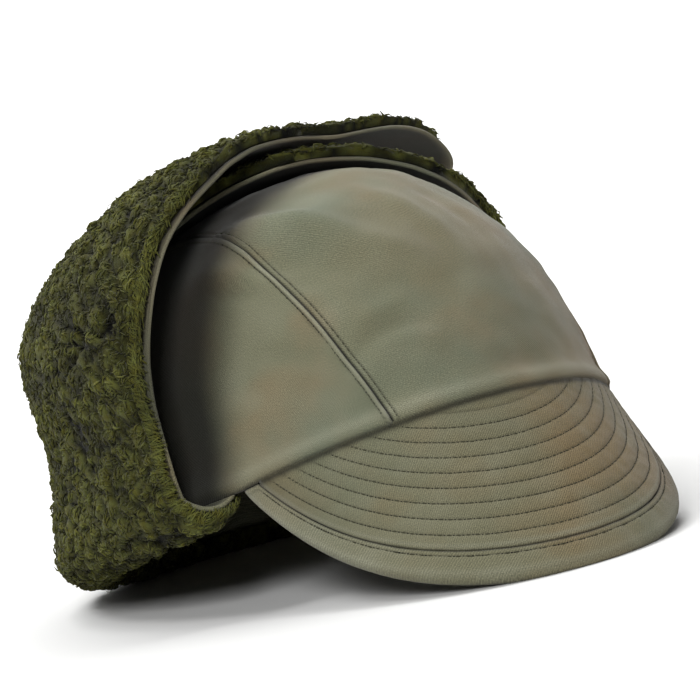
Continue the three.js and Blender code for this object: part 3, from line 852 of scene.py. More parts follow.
# %% The seams' route
SEAM_ROUTE = [
    (34, -8), (35, 2), (38, 14), (43.5, 29), (51, 41), (64, 51),
    (95, 56), (124, 46), (138, 25), (144, 8), (146, -4),
]
CROWN_DENTS = [
    {"around": -46, "up": 22, "depth": 3.0, "wide": 9, "high": 10},
    {"around": -30, "up": 38, "depth": -2.0, "wide": 26, "high": 5},
    {"around": -33, "up": 13, "depth": 1.8, "wide": 9, "high": 6},
    {"around": -8, "up": 22, "depth": 1.6, "wide": 14, "high": 6},
    {"around": -62, "up": 10, "depth": 2.2, "wide": 10, "high": 12},
    {"around": 28, "up": 40, "depth": 1.6, "wide": 20, "high": 7},
]
CROWN_CREASES = [
    {"route": [(-42, 44), (-30, 41), (-20, 37), (-10, 31), (3, 24)], "rise": 2.9, "width": 4.2},
    {"route": [(-36, 36), (-24, 31), (-13, 25)], "rise": -2.2, "width": 4.6},
    {"route": [(-24, 13), (-17, 16), (-9, 16), (-3, 14)], "rise": -1.6, "width": 2.8},
    {"route": [(-22, 18), (-14, 20), (-6, 19)], "rise": 0.9, "width": 3.0},
    {"route": [(-47, 35), (-42, 32.5), (-38, 31), (-35, 29)], "rise": -1.8, "width": 2.0},
    {"route": [(-48, 38), (-42, 35), (-37, 32.5), (-33, 29)], "rise": 1.3, "width": 2.4},
    {"route": [(-42, 21), (-36, 18), (-29, 15)], "rise": -1.1, "width": 2.6},
    {"route": [(-29, 30), (-24, 27), (-20, 23)], "rise": -1.0, "width": 2.6},
    {"route": [(-6, 44), (2, 38), (8, 31), (11, 24)], "rise": 1.4, "width": 4.2},
    {"route": [(10, 44), (17, 36), (21, 27)], "rise": -1.2, "width": 3.6},
    {"route": [(-2, 6), (12, 5), (26, 5)], "rise": -0.7, "width": 3.5},
]
SEAM_SIDES = {"right": -1, "left": 1}


def seam_way(side, share):
    turns = np.array([CROWN_TURN + side * around for around, _ in SEAM_ROUTE])
    climbs = np.array([up for _, up in SEAM_ROUTE])
    return unit(smooth_curve(heading(turns, climbs), share))


def around_of(way):
    return np.degrees(np.arctan2(way[..., 0], way[..., 1]))


def band_way(around):
    foot = (band_height(around) + CLEARANCE) / CROWN_HEIGHT
    level = (1 - foot**SIDE_SQUARENESS) ** (1 / SIDE_SQUARENESS)
    turn = np.radians(around)
    return unit(np.stack([np.sin(turn) * level, np.cos(turn) * level, foot], -1))


def above_band(way):
    return dome_point(way, 0)[..., 2] - band_height(around_of(way)) - CLEARANCE


def seam_ends(side):
    """The shares of the route where the seam leaves the band and comes back to it."""
    shares = np.linspace(0, 1, 4001)
    above = np.flatnonzero(above_band(seam_way(side, shares)) > 0)
    return shares[above[0]], shares[above[-1]]


SEAM_ENDS = {name: seam_ends(side) for name, side in SEAM_SIDES.items()}
print("seams leave the band at", {k: [round(float(x), 3) for x in v] for k, v in SEAM_ENDS.items()})


def seam_at(name, share):
    start, end = SEAM_ENDS[name]
    return seam_way(SEAM_SIDES[name], mix(start, end, share))


# %% [markdown]
# ## Where the flaps run
#
# The flaps come last, but the crown's cloth already needs their front edges, because a shadow
# of each flap is painted into the cloth's colour. Each flap's table has one line for each
# station on the way up: where the front and rear edges are, how far they stand off the
# crown, and how deep the pile is there.

# %% The flaps' stations
# SHADE_REACH and each flap's shade value set how far the painted shadow of the flaps reaches over the crown.
SHADE_REACH = 12.0
SEAT = UNDER_STANDOFF + SHELL_CLOTH + CLEARANCE + PILE_PRESSED + 1.5 * CLEARANCE
OVER = (SEAT + FASTENER_THICK + 1.5 * CLEARANCE) / FLAP_STANDOFF
UNDER = UNDER_STANDOFF / FLAP_STANDOFF
FOLDED = FOLD_PILE / PILE_DEPTH
PRESSED = PILE_PRESSED / PILE_DEPTH
BACK_SEAM = CLEARANCE / (BACK_LENGTH * math.pi)
FOLD_SHARE = 0.25
TONGUE_ROUNDING = 0.14
FLAPS = {
    "right": {
        "side": -1, "fold": 1.32, "corner": 69, "shade": 1.0,
        "stations": [
            (75, 3, 180, 10, 0.84, 0.1, FOLDED),
            (73, 11, 180, 19, 0.9, 0.03, PRESSED),
            (70, 21, 179, 31, 1, 0.39, 1),
            (62, 35, 178, 46, 1, 0.45, 0.75),
            (48, 48, 164, 61, 0.77, 0.75, 0.5),
            (14, 62, 164, 77, OVER, OVER, PRESSED),
            (-53, 46, -88, 47, OVER, OVER, PRESSED),
        ],
    },
    "left": {
        "side": 1, "fold": 1.18, "corner": 78, "shade": 0.4,
        "stations": [
            (82, 3, 180, 10, 0.65, 0.1, FOLDED),
            (80, 11, 180, 19, 0.65, 0.03, PRESSED),
            (74, 24, 179, 31, 0.52, 0.39, 1),
            (58, 37, 178, 46, 0.39, 0.42, 0.75),
            (34, 48, 160, 61, UNDER, UNDER, PRESSED),
            (-12, 61, -170, 74, UNDER, UNDER, PRESSED),
            (-60, 47, -100, 50, UNDER, UNDER, PRESSED),
        ],
    },
}

# %% [markdown]
# The dents are a short table of places, depths and spreads, as one might note them with
# the photograph in hand. Finer unevenness comes from two sizes of noise and a table of long soft creases.

# %% Dents and seams in the crown cloth


def crown_dent(way):
    around = around_of(way)
    up = np.degrees(np.arctan2(way[..., 2], np.hypot(way[..., 0], way[..., 1])))
    depth = 0 * around
    for dent in CROWN_DENTS:
        away = ((around - dent["around"]) / dent["wide"]) ** 2 + ((up - dent["up"]) / dent["high"]) ** 2
        depth = depth + dent["depth"] * np.exp(-away)
    return depth


def crown_creases(way):
    """Long soft folds: a rise, negative for a hollow, that fades towards both ends."""
    total = np.zeros(way.shape[:-1])
    shares = np.linspace(0, 1, 24)
    fade = np.sin(np.pi * np.clip(shares, 0.02, 0.98)) ** 0.6
    for crease in CROWN_CREASES:
        turns, climbs = np.array(crease["route"], float).T
        route = unit(smooth_curve(heading(turns, climbs), shares))
        apart = HALF_WIDTH * 1.15 * np.arccos(np.clip(way @ route.T, -1, 1))
        nearest = apart.argmin(-1)
        away = np.take_along_axis(apart, nearest[..., None], -1)[..., 0] / crease["width"]
        total += crease["rise"] * fade[nearest] * np.exp(-(away**2))
    return total


def crown_faces(way, from_seam, allowance):
    """The cloth's two faces; allowance is 1 on a side panel, 0 on the centre panel."""
    height = above_band(way)
    rest = dome_point(way, 0)
    dent = crown_dent(way) * smoothstep(height, 0, 14)
    uneven = 1.0 * speckle(rest, 19.0, 1.0) + 0.4 * speckle(rest, 7.0, 2.0) + crown_creases(way)
    uneven = uneven * smoothstep(height, 0, 8) - dent
    hem = 1.0 * ridge(height, 3.0, 3.5) - 0.9 * np.exp(-((height / 0.8) ** 2))
    strip = 0.55 * smoothstep(from_seam, 0.1, 0.6) * (1 - smoothstep(from_seam, 2.0, 2.9))
    fold = -0.8 * np.exp(-((from_seam / (0.45 - 0.1 * allowance)) ** 2))
    stitch = mix(2.0, 2.35, allowance)
    groove = -0.22 * ridge(from_seam, stitch, 0.35)
    offset = uneven + hem + fold + groove + strip * allowance
    outer = dome_point(way, offset)
    return outer, dome_point(way, uneven - CROWN_CLOTH - 0.8 * np.exp(-(from_seam / 2) ** 2))


def centre_way(u, v):
    """From the front band (v 0) over the top to the back band (v 1); u runs right to left."""
    right, left = seam_at("right", v), seam_at("left", v)
    way = turn_between(right, left, u)
    ends = []
    for end in (0.0, 1.0):
        first, last = (around_of(seam_at(name, end)) for name in SEAM_SIDES)
        if end == 1.0:
            last = last - 360
        band = band_way(mix(first, last, u))
        row = turn_between(seam_at("right", end * np.ones_like(u)), seam_at("left", end * np.ones_like(u)), u)
        ends.append(band - row)
    return unit(way + ends[0] * ((1 - v) ** 8)[..., None] + ends[1] * (v**8)[..., None])


def side_way(name):
    def way(u, v):
        """Along the band (u) and up from it to the seam (v 1)."""
        first, last = (around_of(seam_at(name, end)) for end in (0.0, 1.0))
        if name == "left" and last < first:
            last = last + 360
        return turn_between(band_way(mix(first, last, u)), seam_at(name, u), v)

    return way


def painted_flap_shadow(way):
    """Painted shadow of the flaps: 1 where a flap covers the crown, fading out a little ahead of the flap's
    front edge.
    """
    total = np.zeros(way.shape[:-1])
    shares = np.linspace(0, 1, 200)
    for flap in FLAPS.values():
        table = np.array(flap["stations"], float)
        turns = CROWN_TURN + flap["side"] * table[:, 0]
        route = unit(smooth_curve(heading(turns, table[:, 1]), shares))
        apart = np.arccos(np.clip(way @ route.T, -1, 1))
        nearest = apart.argmin(-1)
        away = HALF_WIDTH * np.take_along_axis(apart, nearest[..., None], -1)[..., 0]
        across = np.cross(route, np.gradient(route, axis=0))[nearest]
        behind = flap["side"] * (way * across).sum(-1) > 0
        reach = np.where(behind, 3, 1) * SHADE_REACH * flap["shade"]
        dark = 1 - smoothstep(away, 0.15 * reach, 1.4 * reach)
        total = np.maximum(total, dark)
    return total


def seam_masks(way_of, distance, allowance):
    """How rubbed the cloth is beside a seam, and the painted shade in its fold, on its stitch line, above the
    band and beside the flaps.
    """
    stitch = mix(2.0, 2.35, allowance)

    def wear(u, v, near):
        from_seam = distance(near)
        height = above_band(way_of(u, v))
        rubbed = 0.5 * allowance * ridge(from_seam, 1.1, 0.7) + 0.3 * ridge(height, 4.0, 2.0)
        return rubbed + 0.25 * np.maximum(0, speckle(dome_point(way_of(u, v), 0), 11.0, 9.0))

    def groove(u, v, near):
        from_seam = distance(near)
        height = above_band(way_of(u, v))
        # Painted shade in the seam's fold, on the stitch line and at the foot of the crown, with the flaps'
        # painted shadow over it.
        dark = np.maximum(ridge(from_seam, 0.0, 0.45), 0.45 * ridge(from_seam, stitch, 0.3))
        dark = np.maximum(dark, 0.8 * np.exp(-((height / 0.9) ** 2)))
        return np.maximum(dark, painted_flap_shadow(way_of(u, v)))

    return {"wear": wear, "groove": groove}


def seam_row(name, from_seam, on_side_panel):
    """The line at one distance beside a seam, on the side panel or on the centre panel."""
    along = np.linspace(0.004, 0.996, 500)
    if on_side_panel:
        way_of = side_way(name)
        foot, top = way_of(along, 0 * along), way_of(along, 1 + 0 * along)
    else:
        other = "left" if name == "right" else "right"
        foot, top = seam_at(other, along), seam_at(name, along)
    radius = np.linalg.norm(dome_point(top, 0), axis=-1)
    reach = np.arccos(np.clip((foot * top).sum(-1), -1, 1)) * radius
    kept = reach > 3 * from_seam
    way = turn_between(foot, top, 1 - from_seam / np.maximum(reach, 1))[kept]
    outer, _ = crown_faces(way, np.full(kept.sum(), from_seam), float(on_side_panel))
    outward = at_rest(dome_point(way, 2)) - at_rest(dome_point(way, 0))
    above = above_band(way) > 1.2
    return at_rest(outer)[above], unit(outward)[above]


def lay_crown():
    mesh, cut = lay_sheet(
        "crown_centre_cloth",
        spread_shares(72, 0.035, 12),
        spread_shares(170, 0.03, 12),
        lambda u, v: dome_point(centre_way(u, v), 0),
        lambda u, v, near: crown_faces(centre_way(u, v), np.minimum(near["left"], near["right"]), 0.0),
        seam_masks(centre_way, lambda near: np.minimum(near["left"], near["right"]), 0.0),
    )
    piece = add_piece("crown_centre_cloth", mesh, CROWN_CLOTH_FINISH, "olive_sateen", "crown_center_panel")
    for name in SEAM_SIDES:
        way = side_way(name)
        mesh, cut = lay_sheet(
            f"crown_{name}_cloth",
            spread_shares(104),
            spread_shares(54, 0.05, 12),
            lambda u, v, way=way: dome_point(way(u, v), 0),
            lambda u, v, near, way=way: crown_faces(way(u, v), near["top"], 1.0),
            seam_masks(way, lambda near: near["top"], 1.0),
        )
        piece = add_piece(
            f"crown_{name}_cloth", mesh, CROWN_CLOTH_FINISH, "olive_sateen", f"crown_side_{name}"
        )
    rows = [seam_row(name, 2.35, True) for name in SEAM_SIDES]
    rows += [seam_row(name, 2.0, False) for name in SEAM_SIDES]
    sew("crown_stitches", rows, "olive_sateen")


lay_crown()

# %% [markdown]
# ## The quilted bill
#
# Eight rows of stitches run round the bill, each a fixed distance from its outer edge, and
# the turned hem is the last and widest strip. The padding swells a little between rows.


# %% The bill's shape
def bill_reach(around):
    share = np.minimum(1, np.abs(around) / BILL_HALF_SPREAD)
    return BILL_LENGTH * (1 - share**BILL_ROUNDNESS) ** BILL_TAPER


def bill_point(around, reach, depth):
    droops = np.radians(mix(BILL_DROOP_MIDDLE, BILL_DROOP_CORNER, (around / BILL_HALF_SPREAD) ** 2))
    point, outward = band_point(around)
    level = reach * np.cos(droops) - depth * np.sin(droops)
    point = point + outward * level[..., None]
    point[..., 2] = -reach * np.sin(droops) - depth * np.cos(droops)
    return point


def bill_angle_at(reach):
    narrowed = (reach / BILL_LENGTH) ** (1 / BILL_TAPER)
    return BILL_HALF_SPREAD * (1 - narrowed) ** (1 / BILL_ROUNDNESS)


def body_middle(u, v):
    spread = bill_angle_at(BILL_HEM + 1.0)
    around = mix(-spread, spread, u)
    reach = mix(-1.5, bill_reach(around) - BILL_HEM - CLEARANCE, v)
    return around, reach


def quilt_grooves(from_edge, width):
    groove = 0 * from_edge
    for row in range(1, QUILT_ROWS + 2):
        groove = np.maximum(groove, ridge(from_edge, row * QUILT_SPACING, width))
    return groove


def body_depth(around, reach, from_edge):
    lip = np.exp(-((from_edge / 0.7) ** 2))
    puff = 0.16 * np.sin(np.pi * from_edge / QUILT_SPACING) ** 2
    rough = 0.22 * speckle(bill_point(around, reach, 0 * reach), 3.6, 3.0)
    raised = puff + 0.08 * ridge(from_edge, 1.5, 0.9) + rough
    return 0.24 * quilt_grooves(from_edge, 0.4) + 0.12 * lip - raised


def body_faces(u, v, near):
    around, reach = body_middle(u, v)
    depth = body_depth(around, reach, near["top"] + CLEARANCE)
    return bill_point(around, reach, depth), bill_point(around, reach, BILL_THICK + 0.2 - depth * 0.5)


def body_masks():
    def wear(u, v, near):
        around, reach = body_middle(u, v)
        spots = speckle(bill_point(around, reach, 0 * u), 9.0, 10.0)
        return 0.35 * ridge(near["top"], 1.3, 0.8) + 0.25 * np.maximum(0, spots)

    def groove(u, v, near):
        # Painted shade: darker on the quilting rows, at the bill's root under the crown's edge and along the
        # join with the hem.
        from_edge = near["top"] + CLEARANCE
        shade_under_crown = np.exp(-(((near["bottom"] - 1.5) / 1.2) ** 2))
        stitched = 0.42 * quilt_grooves(from_edge, 0.26)
        return np.maximum(np.maximum(stitched, 0.8 * shade_under_crown), 0.7 * np.exp(-((near["top"] / 0.3) ** 2)))

    return {"wear": wear, "groove": groove}


def quilt_line(row):
    from_edge = row * QUILT_SPACING
    around = np.linspace(-BILL_HALF_SPREAD, BILL_HALF_SPREAD, 900)
    reach = bill_reach(around) - BILL_HEM - from_edge
    around, reach = around[reach > 0.8], reach[reach > 0.8]
    depth = body_depth(around, reach, np.full_like(reach, from_edge))
    points = at_rest(bill_point(around, reach, depth))
    upward = at_rest(bill_point(around, reach, -2 + 0 * reach)) - at_rest(bill_point(around, reach, 0 * reach))
    return points, unit(upward)


HEM_STITCH = 1.7


def hem_middle(u, v):
    spread = bill_angle_at(1.0)
    around = mix(-spread, spread, u)
    full = bill_reach(around)
    start = np.maximum(0, full - BILL_HEM)
    return around, mix(start, full, v)


def hem_faces(u, v, near):
    around, reach = hem_middle(u, v)
    edge, seam = near["top"], near["bottom"]
    rim = BILL_THICK / 2
    round_edge = rim * (1 - np.sqrt(1 - (1 - np.minimum(edge, rim) / rim) ** 2))
    turned = 0.14 * np.exp(-((seam / 0.5) ** 2)) + 0.2 * ridge(seam, HEM_STITCH, 0.4)
    pucker = 0.12 * np.sin(around * 2.3 + 2 * np.sin(around * 0.7)) * np.exp(-((seam - 2.5) / 2) ** 2)
    puff = -0.25 * np.sin(np.pi * np.clip(seam / BILL_HEM, 0, 1)) + pucker
    rough = 0.15 * speckle(bill_point(around, reach, 0 * u), 5.0, 4.0)
    depth = round_edge * 0.95 + turned + puff - rough
    under = BILL_THICK - round_edge * 0.95 - 0.3 * turned
    return bill_point(around, reach, depth), bill_point(around, reach, under)


def hem_masks():
    def wear(u, v, near):
        around, reach = hem_middle(u, v)
        spots = speckle(bill_point(around, reach, 0 * u), 8.0, 11.0)
        near_corner = smoothstep(-around, 20, 45)
        return 0.35 * near_corner + 0.3 * np.maximum(0, spots) + 0.35 * ridge(near["top"], 2.0, 1.6)

    def groove(u, v, near):
        # Painted shade: darker towards the far end of the hem, along its join with the padding and on its
        # stitch line.
        around, _ = hem_middle(u, v)
        far_end_shade = 0.5 * smoothstep(around, 12, 46)
        join = 0.7 * np.exp(-((near["bottom"] / 0.35) ** 2))
        return np.maximum(np.maximum(join, far_end_shade), 0.35 * ridge(near["bottom"], HEM_STITCH, 0.3))

    return {"wear": wear, "groove": groove}


def hem_line():
    around = np.linspace(-1, 1, 900) * bill_angle_at(BILL_HEM + 1.0)
    reach = bill_reach(around) - BILL_HEM + HEM_STITCH
    depth = 0.1 + 0 * reach
    points = at_rest(bill_point(around, reach, depth))
    upward = at_rest(bill_point(around, reach, -2 + 0 * reach)) - at_rest(bill_point(around, reach, 0 * reach))
    return points, unit(upward)


def lay_bill():
    mesh, cut = lay_sheet(
        "bill_padding",
        spread_shares(150),
        spread_shares(112),
        lambda u, v: bill_point(*body_middle(u, v), 0 * u),
        body_faces,
        body_masks(),
    )
    body = add_piece("bill_padding", mesh, BILL_CLOTH_FINISH, "bill_sateen", "bill")
    mesh, cut = lay_sheet(
        "bill_hem_cloth",
        spread_shares(160),
        spread_shares(26, 0.25, 9),
        lambda u, v: bill_point(*hem_middle(u, v), 0 * u),
        hem_faces,
        hem_masks(),
    )
    hem = add_piece("bill_hem_cloth", mesh, BILL_CLOTH_FINISH, "bill_sateen", "bill_hem")
    rows = [quilt_line(row) for row in range(1, QUILT_ROWS + 1)] + [hem_line()]
    sew("bill_stitches", rows, "bill_sateen")


lay_bill()

# %% [markdown]
# ## The two flaps
#
# A flap hangs from the band, folds up round a soft roll and climbs the crown, narrowing to
# a tongue. The functions below read its stations from the table above.


# %% The flaps' shape
def tongue_end(share):
    return 1 - TONGUE_ROUNDING * (1 - np.sqrt(np.maximum(0, 1 - (2 * share - 1) ** 2)))


def uniform_curve(points, shares):
    """A plain Catmull-Rom curve, used for depths along a flap."""
    points = np.asarray(points, float)
    place = np.clip(np.asarray(shares, float), 0, 1) * (len(points) - 1)
    segment = np.minimum(place.astype(int), len(points) - 2)
    along = (place - segment)[..., None]
    last = len(points) - 1
    p0, p1, p2, p3 = (points[np.clip(segment + step, 0, last)] for step in (-1, 0, 1, 2))
    rate1, rate2 = (p2 - p0) / 2, (p3 - p1) / 2
    curve = p1 + rate1 * along + (-3 * p1 + 3 * p2 - 2 * rate1 - rate2) * along**2
    return curve + (2 * p1 - 2 * p2 + rate1 + rate2) * along**3


def flap_shape(name):
    flap = FLAPS[name]
    side = flap["side"]
    table = np.array(flap["stations"], float)
    front_ways = heading(CROWN_TURN + side * table[:, 0], table[:, 1])
    rear_ways = heading(CROWN_TURN + side * table[:, 2], table[:, 3])

    def upper(across, up, layer):
        way = turn_between(unit(smooth_curve(front_ways, up)), unit(smooth_curve(rear_ways, up)), across)
        off = FLAP_STANDOFF * smooth_curve(table[:, 4:6], up)
        lift = TIP_LIFT * smoothstep(up, TIP_LIFT_START, 1) if side < 0 else 0
        standing = mix(off[..., 0], off[..., 1], smoothstep(across, 0, 0.6))
        return dome_point(way, standing + lift + layer)

    def fold(across, turn, layer):
        around = mix(mix(flap["corner"], table[0, 0], turn), 180, across)
        radius = FOLD_RADIUS_BACK * mix(flap["fold"], 1, across)
        ring = radius + layer
        point, outward = band_point(CROWN_TURN + side * around)
        start = np.pi + np.arcsin(np.minimum(1, FOLD_CENTRE_RISE / ring))
        angle = mix(start, 2 * np.pi, turn)
        point = point + outward * (fold_centre(radius) + ring * np.cos(angle))[..., None]
        point[..., 2] += FOLD_CENTRE_RISE + ring * np.sin(angle)
        return point

    def shape(share, climb, layer, setback=0.0):
        across = np.maximum(setback, share * (1 - BACK_SEAM))
        layer = layer + 0 * share
        up = np.clip((climb - FOLD_SHARE) / (1 - FOLD_SHARE), 0, 1) * tongue_end(share)
        held = np.minimum(up, tongue_end(share) - setback)
        join = fold(across, 1 + 0 * share, layer) - upper(across, 0 * share, layer)
        raised = upper(across, held, layer) + join * ((1 - held) ** 6)[..., None]
        rolled = fold(across, np.clip(climb / FOLD_SHARE, 0, 1), layer)
        return np.where((climb <= FOLD_SHARE)[..., None], rolled, raised)

    return shape


# %% [markdown]
# The shell's free edge is corded: the cloth is turned over a cord and stands a little
# proud on both faces. Where the edge distance is small, both faces follow that round rim.

# %% Lay the shells
SHELL_THIN = 1.3
CORD_RADIUS = 0.75
FLAP_SHAPES = {name: flap_shape(name) for name in FLAPS}


def shell_faces(shape):
    def faces(u, v, near):
        free = np.minimum(near["left"], near["top"])
        rest = shape(u, v, SHELL_CLOTH / 2)
        cord = np.sqrt(np.maximum(0, 1 - ((free - CORD_RADIUS) / CORD_RADIUS) ** 2))
        behind = smoothstep(free, 1.2 * CORD_RADIUS, 2.6 * CORD_RADIUS)
        half = np.maximum(cord * CORD_RADIUS, behind * SHELL_THIN / 2)
        rough = 0.25 * speckle(rest, 9.0, 5.0)
        return shape(u, v, SHELL_CLOTH / 2 + half + rough), shape(u, v, SHELL_CLOTH / 2 - half + rough)

    return faces


def shell_masks():
    def wear(u, v, near):
        free = np.minimum(near["left"], near["top"])
        return 0.25 * (1 - smoothstep(free, 1.0, 3.0)) * smoothstep(v, 0.5, 0.7)

    def groove(u, v, near):
        # Painted shade: the shell is dark away from its corded rim and in the crease behind the cord. Over the
        # middle of the climb the rim is darker as well.
        free = np.minimum(near["left"], near["top"])
        underside_shade = 0.75 * smoothstep(free, 2.2, 4.5)
        matted = 0.6 * (1 - smoothstep(v, 0.5, 0.7)) * smoothstep(v, 0.36, 0.44)
        return np.maximum(np.maximum(underside_shade, matted), 0.6 * ridge(free, 2.4, 0.6))

    return {"wear": wear, "groove": groove}


def lay_shells():
    for name, shape in FLAP_SHAPES.items():
        across = np.concatenate([np.linspace(0, 0.02, 10)[:-1], np.linspace(0.02, 1, 48)])
        along = np.concatenate([np.linspace(0, 0.98, 112)[:-1], np.linspace(0.98, 1, 9)])
        mesh, cut = lay_sheet(
            f"flap_{name}_cloth",
            across,
            along,
            lambda u, v, shape=shape: shape(u, v, SHELL_CLOTH / 2),
            shell_faces(shape),
            shell_masks(),
        )
        piece = add_piece(
            f"flap_{name}_cloth", mesh, CROWN_CLOTH_FINISH, "olive_sateen", f"flap_shell_{name}"
        )


lay_shells()

# %% [markdown]
# ## The pile
#
# The pile lies on the shell's other side, outermost when a flap is turned up. Its bed is
# full in the middle and rounds off at the edges. Noise of two sizes gathers it into clumps,
# and here and there a deep pit shows where the wool has parted.

# %% Lay the pile's bed
PILE_SEAT = SHELL_CLOTH + CLEARANCE
PILE_SETBACK_SHARE = PILE_SETBACK / (BACK_LENGTH * math.pi / 2)
CLUMP_SIZE, LOCK_SIZE, PIT_SIZE = 7.0, 2.6, 9.0


def clumps(points):
    """Cells of matted wool: 0 in the creases between them, 1 in the middle of each."""
    values = []
    for point in points:
        place = Vector(point)
        bent = place / CLUMP_SIZE + noise.noise_vector(place / 4.0) * 0.32
        distances, _ = noise.voronoi(bent, distance_metric="DISTANCE")
        values.append(distances[1] - distances[0])
    return smoothstep(np.array(values), 0.0, 0.42)


def pile_surface(name, u, v):
    """The bed's outer face in measured millimetres, and the painted shade each point gets for how deep it lies
    (0 to 1).
    """
    shape = FLAP_SHAPES[name]
    table = np.array(FLAPS[name]["stations"], float)
    climb = np.maximum(0, v - FOLD_SHARE) / (1 - FOLD_SHARE)
    depth = PILE_DEPTH * uniform_curve(table[:, 6:7], climb)[..., 0]
    nearest = np.minimum(np.minimum(u * 20, (1 - v) * 20), v * 16 + 0.3)
    full = np.sqrt(1 - (1 - np.minimum(1, nearest / 2)) ** 2)
    thick = mix(PILE_EDGE, depth, full)
    rest = shape(u, v, PILE_SEAT + thick, PILE_SETBACK_SHARE)
    clump = clumps(rest)
    lock = speckle(rest, LOCK_SIZE, 7.0)
    pit = smoothstep(speckle(rest, PIT_SIZE, 8.0) + 0.3 * lock, 0.34, 0.5) * (1 - clump)
    loose = mix(0.3, 1.0, full) * smoothstep(v, 0.0, 0.1)
    room = smoothstep(depth, PILE_PRESSED, PILE_DEPTH)
    rise = 1.5 * (clump - 0.75) + 0.6 * lock - mix(0.8, 2.5, room) * pit
    thick = thick + loose * rise
    points = shape(u, v, PILE_SEAT + np.maximum(thick, 0.6), PILE_SETBACK_SHARE)
    deep = np.clip(0.75 * (1 - clump) ** 1.3 - 0.3 * lock + 0.8 * pit + 0.1, 0, 1)
    return points, deep


def lay_pile_bed(name, columns, rows):
    shape = FLAP_SHAPES[name]
    mesh, _ = lay_sheet(
        f"pile_{name}_bed",
        spread_shares(columns),
        spread_shares(rows),
        lambda u, v: shape(u, v, PILE_SEAT + PILE_DEPTH / 2, PILE_SETBACK_SHARE),
        lambda u, v, near: (pile_surface(name, u, v)[0], shape(u, v, PILE_SEAT, PILE_SETBACK_SHARE)),
        {"depth": lambda u, v, near: pile_surface(name, u, v)[1]},
    )
    bed = add_piece(f"pile_{name}_bed", mesh, PILE_FINISH, "pile", f"pile_{name}")


lay_pile_bed("right", 130, 186)
lay_pile_bed("left", 90, 124)

# %% [markdown]
# ## Curls
#
# Over the bed lie short locks of wool, each a bent spindle that comes out of the bed and
# dives back in. Neighbours share a direction, which slow noise turns from place to place,
# so the pile looks matted by use rather than scattered. Locks that lie in a crease take
# its painted shade with them.

# %% Grow the curls
CURL_LENGTH, CURL_RADIUS, CURL_RISE, CURL_SUNK = 3.0, 0.34, 0.62, 0.3
CURL_TAPER = np.array([0.4, 1.05, 1.0, 0.35])
CURL_ROOTS = np.array([0.75, 0.1, 0.0, 0.6])
STRAY_SHARE = 0.02
FRINGE_REACH, FRINGE_ROWS = 4.6, (0.03, 0.8)


def bed_frame(name, columns=130, rows=190):
    u, v = np.meshgrid(np.linspace(0, 1, columns), np.linspace(0, 1, rows))
    points, deep = pile_surface(name, u.ravel(), v.ravel())
    points = at_rest(points).reshape(rows, columns, 3)
    normals = unit(np.cross(np.gradient(points, axis=1), np.gradient(points, axis=0)))
    outward = points - at_rest(np.zeros(3))
    if (normals * outward).sum(-1).mean() < 0:
        normals = -normals
    return points, normals, deep.reshape(rows, columns)


def grow_curls(name, count, seed, keep):
    rng = np.random.default_rng(seed)
    points, normals, deep = bed_frame(name)
    cells = np.linalg.norm(
        np.cross(points[1:, 1:] - points[:-1, :-1], points[1:, :-1] - points[:-1, 1:]), axis=-1
    )
    cells *= (points[1:, 1:, 2] > 0.0015) * (deep[1:, 1:] < 0.97)
    rows, columns = cells.shape
    chosen = rng.choice(cells.size, count, p=(cells / cells.sum()).ravel())
    row = chosen // columns + rng.random(count)
    column = chosen % columns + rng.random(count)
    base, up = sample_grid(points, row, column), unit(sample_grid(normals, row, column))
    level = unit(np.cross(up, np.array([0.3, 0.2, 1.0])))
    across = np.cross(up, level)
    swirl = np.array([noise.noise(Vector(place) * 110) for place in base]) * 5.0
    swirl += rng.normal(0, 0.8, count)
    ahead = level * np.cos(swirl)[:, None] + across * np.sin(swirl)[:, None]
    aside = np.cross(up, ahead)
    size = rng.uniform(0.65, 1.3, count)
    stray = np.where(rng.random(count) < STRAY_SHARE, 2.4, 1.0)
    share = np.linspace(0, 1, len(CURL_TAPER))
    along = (share - 0.5)[None] * (CURL_LENGTH * size)[:, None]
    bow = np.sin(np.pi * share)[None] * (rng.uniform(-1, 1, count) * size)[:, None]
    arch = np.sin(np.pi * share)[None] * (CURL_RISE * size * stray)[:, None]
    rise = arch - CURL_SUNK + rng.normal(0, 0.12, count)[:, None]
    lines = base[:, None] + MM * (
        along[..., None] * ahead[:, None] + bow[..., None] * aside[:, None] + rise[..., None] * up[:, None]
    )
    lines[..., 2] = np.maximum(lines[..., 2], 0.0004)
    slim = rng.uniform(0.7, 1.3, count) / stray
    radii = MM * CURL_RADIUS * CURL_TAPER[None] * slim[:, None]
    buried = sample_grid(deep[..., None], row, column)
    # Painted shade: a curl is darker at its roots and where it lies in a crease of the bed.
    masks = {"depth": np.clip(CURL_ROOTS[None] * 0.8 + 0.85 * buried, 0, 1), "tone": rng.random(count)[:, None]}
    mesh = tube_mesh(f"pile_{name}_curls_{keep}", lines, radii, up, 3, masks)
    return add_piece(f"pile_{name}_curls_{keep}", mesh, PILE_FINISH, "pile")


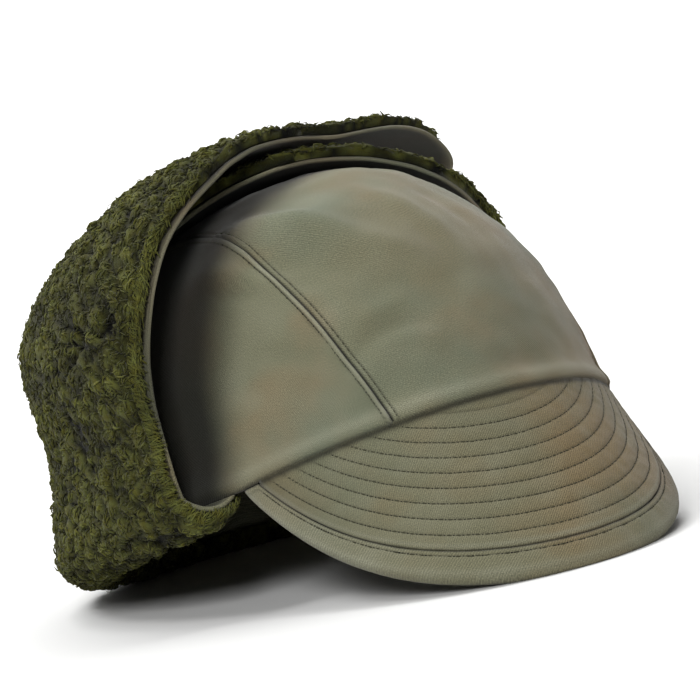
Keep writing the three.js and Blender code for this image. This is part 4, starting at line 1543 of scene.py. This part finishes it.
def grow_fringe(name, count, seed):
    """Curls that hang over the flap's front edge and half hide its cord."""
    rng = np.random.default_rng(seed)
    points, normals, _ = bed_frame(name)
    row = rng.uniform(*FRINGE_ROWS, count) * (points.shape[0] - 1)
    base = sample_grid(points, row, rng.uniform(0, 1.5, count))
    up = unit(sample_grid(normals, row, np.full(count, 1.0)))
    out = unit(sample_grid(points, row, np.zeros(count)) - sample_grid(points, row, np.full(count, 4.0)))
    along = np.cross(up, out)
    share = np.linspace(0, 1, len(CURL_TAPER))
    size = rng.uniform(0.6, 1.25, count)[:, None]
    reach = size * FRINGE_REACH * share[None] - 0.6
    bow = np.sin(1.6 * np.pi * share)[None] * rng.uniform(-1.6, 1.6, count)[:, None]
    bow = bow + share[None] * rng.uniform(-1.4, 1.4, count)[:, None]
    rise = 0.5 * np.sin(np.pi * share)[None] + rng.uniform(-2.2, 0.2, count)[:, None] * share[None] ** 1.5
    lines = base[:, None] + MM * (
        reach[..., None] * out[:, None] + bow[..., None] * along[:, None] + rise[..., None] * up[:, None]
    )
    radii = MM * CURL_RADIUS * CURL_TAPER[None] * rng.uniform(0.6, 1.2, count)[:, None]
    # Painted shade: a fringe curl darkens towards its root.
    masks = {"depth": np.broadcast_to(0.5 * (1 - share)[None], radii.shape), "tone": rng.random(count)[:, None]}
    mesh = tube_mesh(f"pile_{name}_fringe", lines, radii, up, 3, masks)
    return add_piece(f"pile_{name}_fringe", mesh, PILE_FINISH, "pile")


def sample_grid(grid, row, column):
    low_row = np.minimum(row.astype(int), grid.shape[0] - 2)
    low_column = np.minimum(column.astype(int), grid.shape[1] - 2)
    r, c = (row - low_row)[:, None], (column - low_column)[:, None]
    upper = mix(grid[low_row, low_column], grid[low_row, low_column + 1], c)
    lower = mix(grid[low_row + 1, low_column], grid[low_row + 1, low_column + 1], c)
    return mix(upper, lower, r)


grow_curls("right", 9000, 11, "a")
grow_curls("right", 9000, 12, "b")
grow_curls("left", 8000, 13, "a")
grow_fringe("right", 1500, 14)
grow_fringe("left", 700, 15)
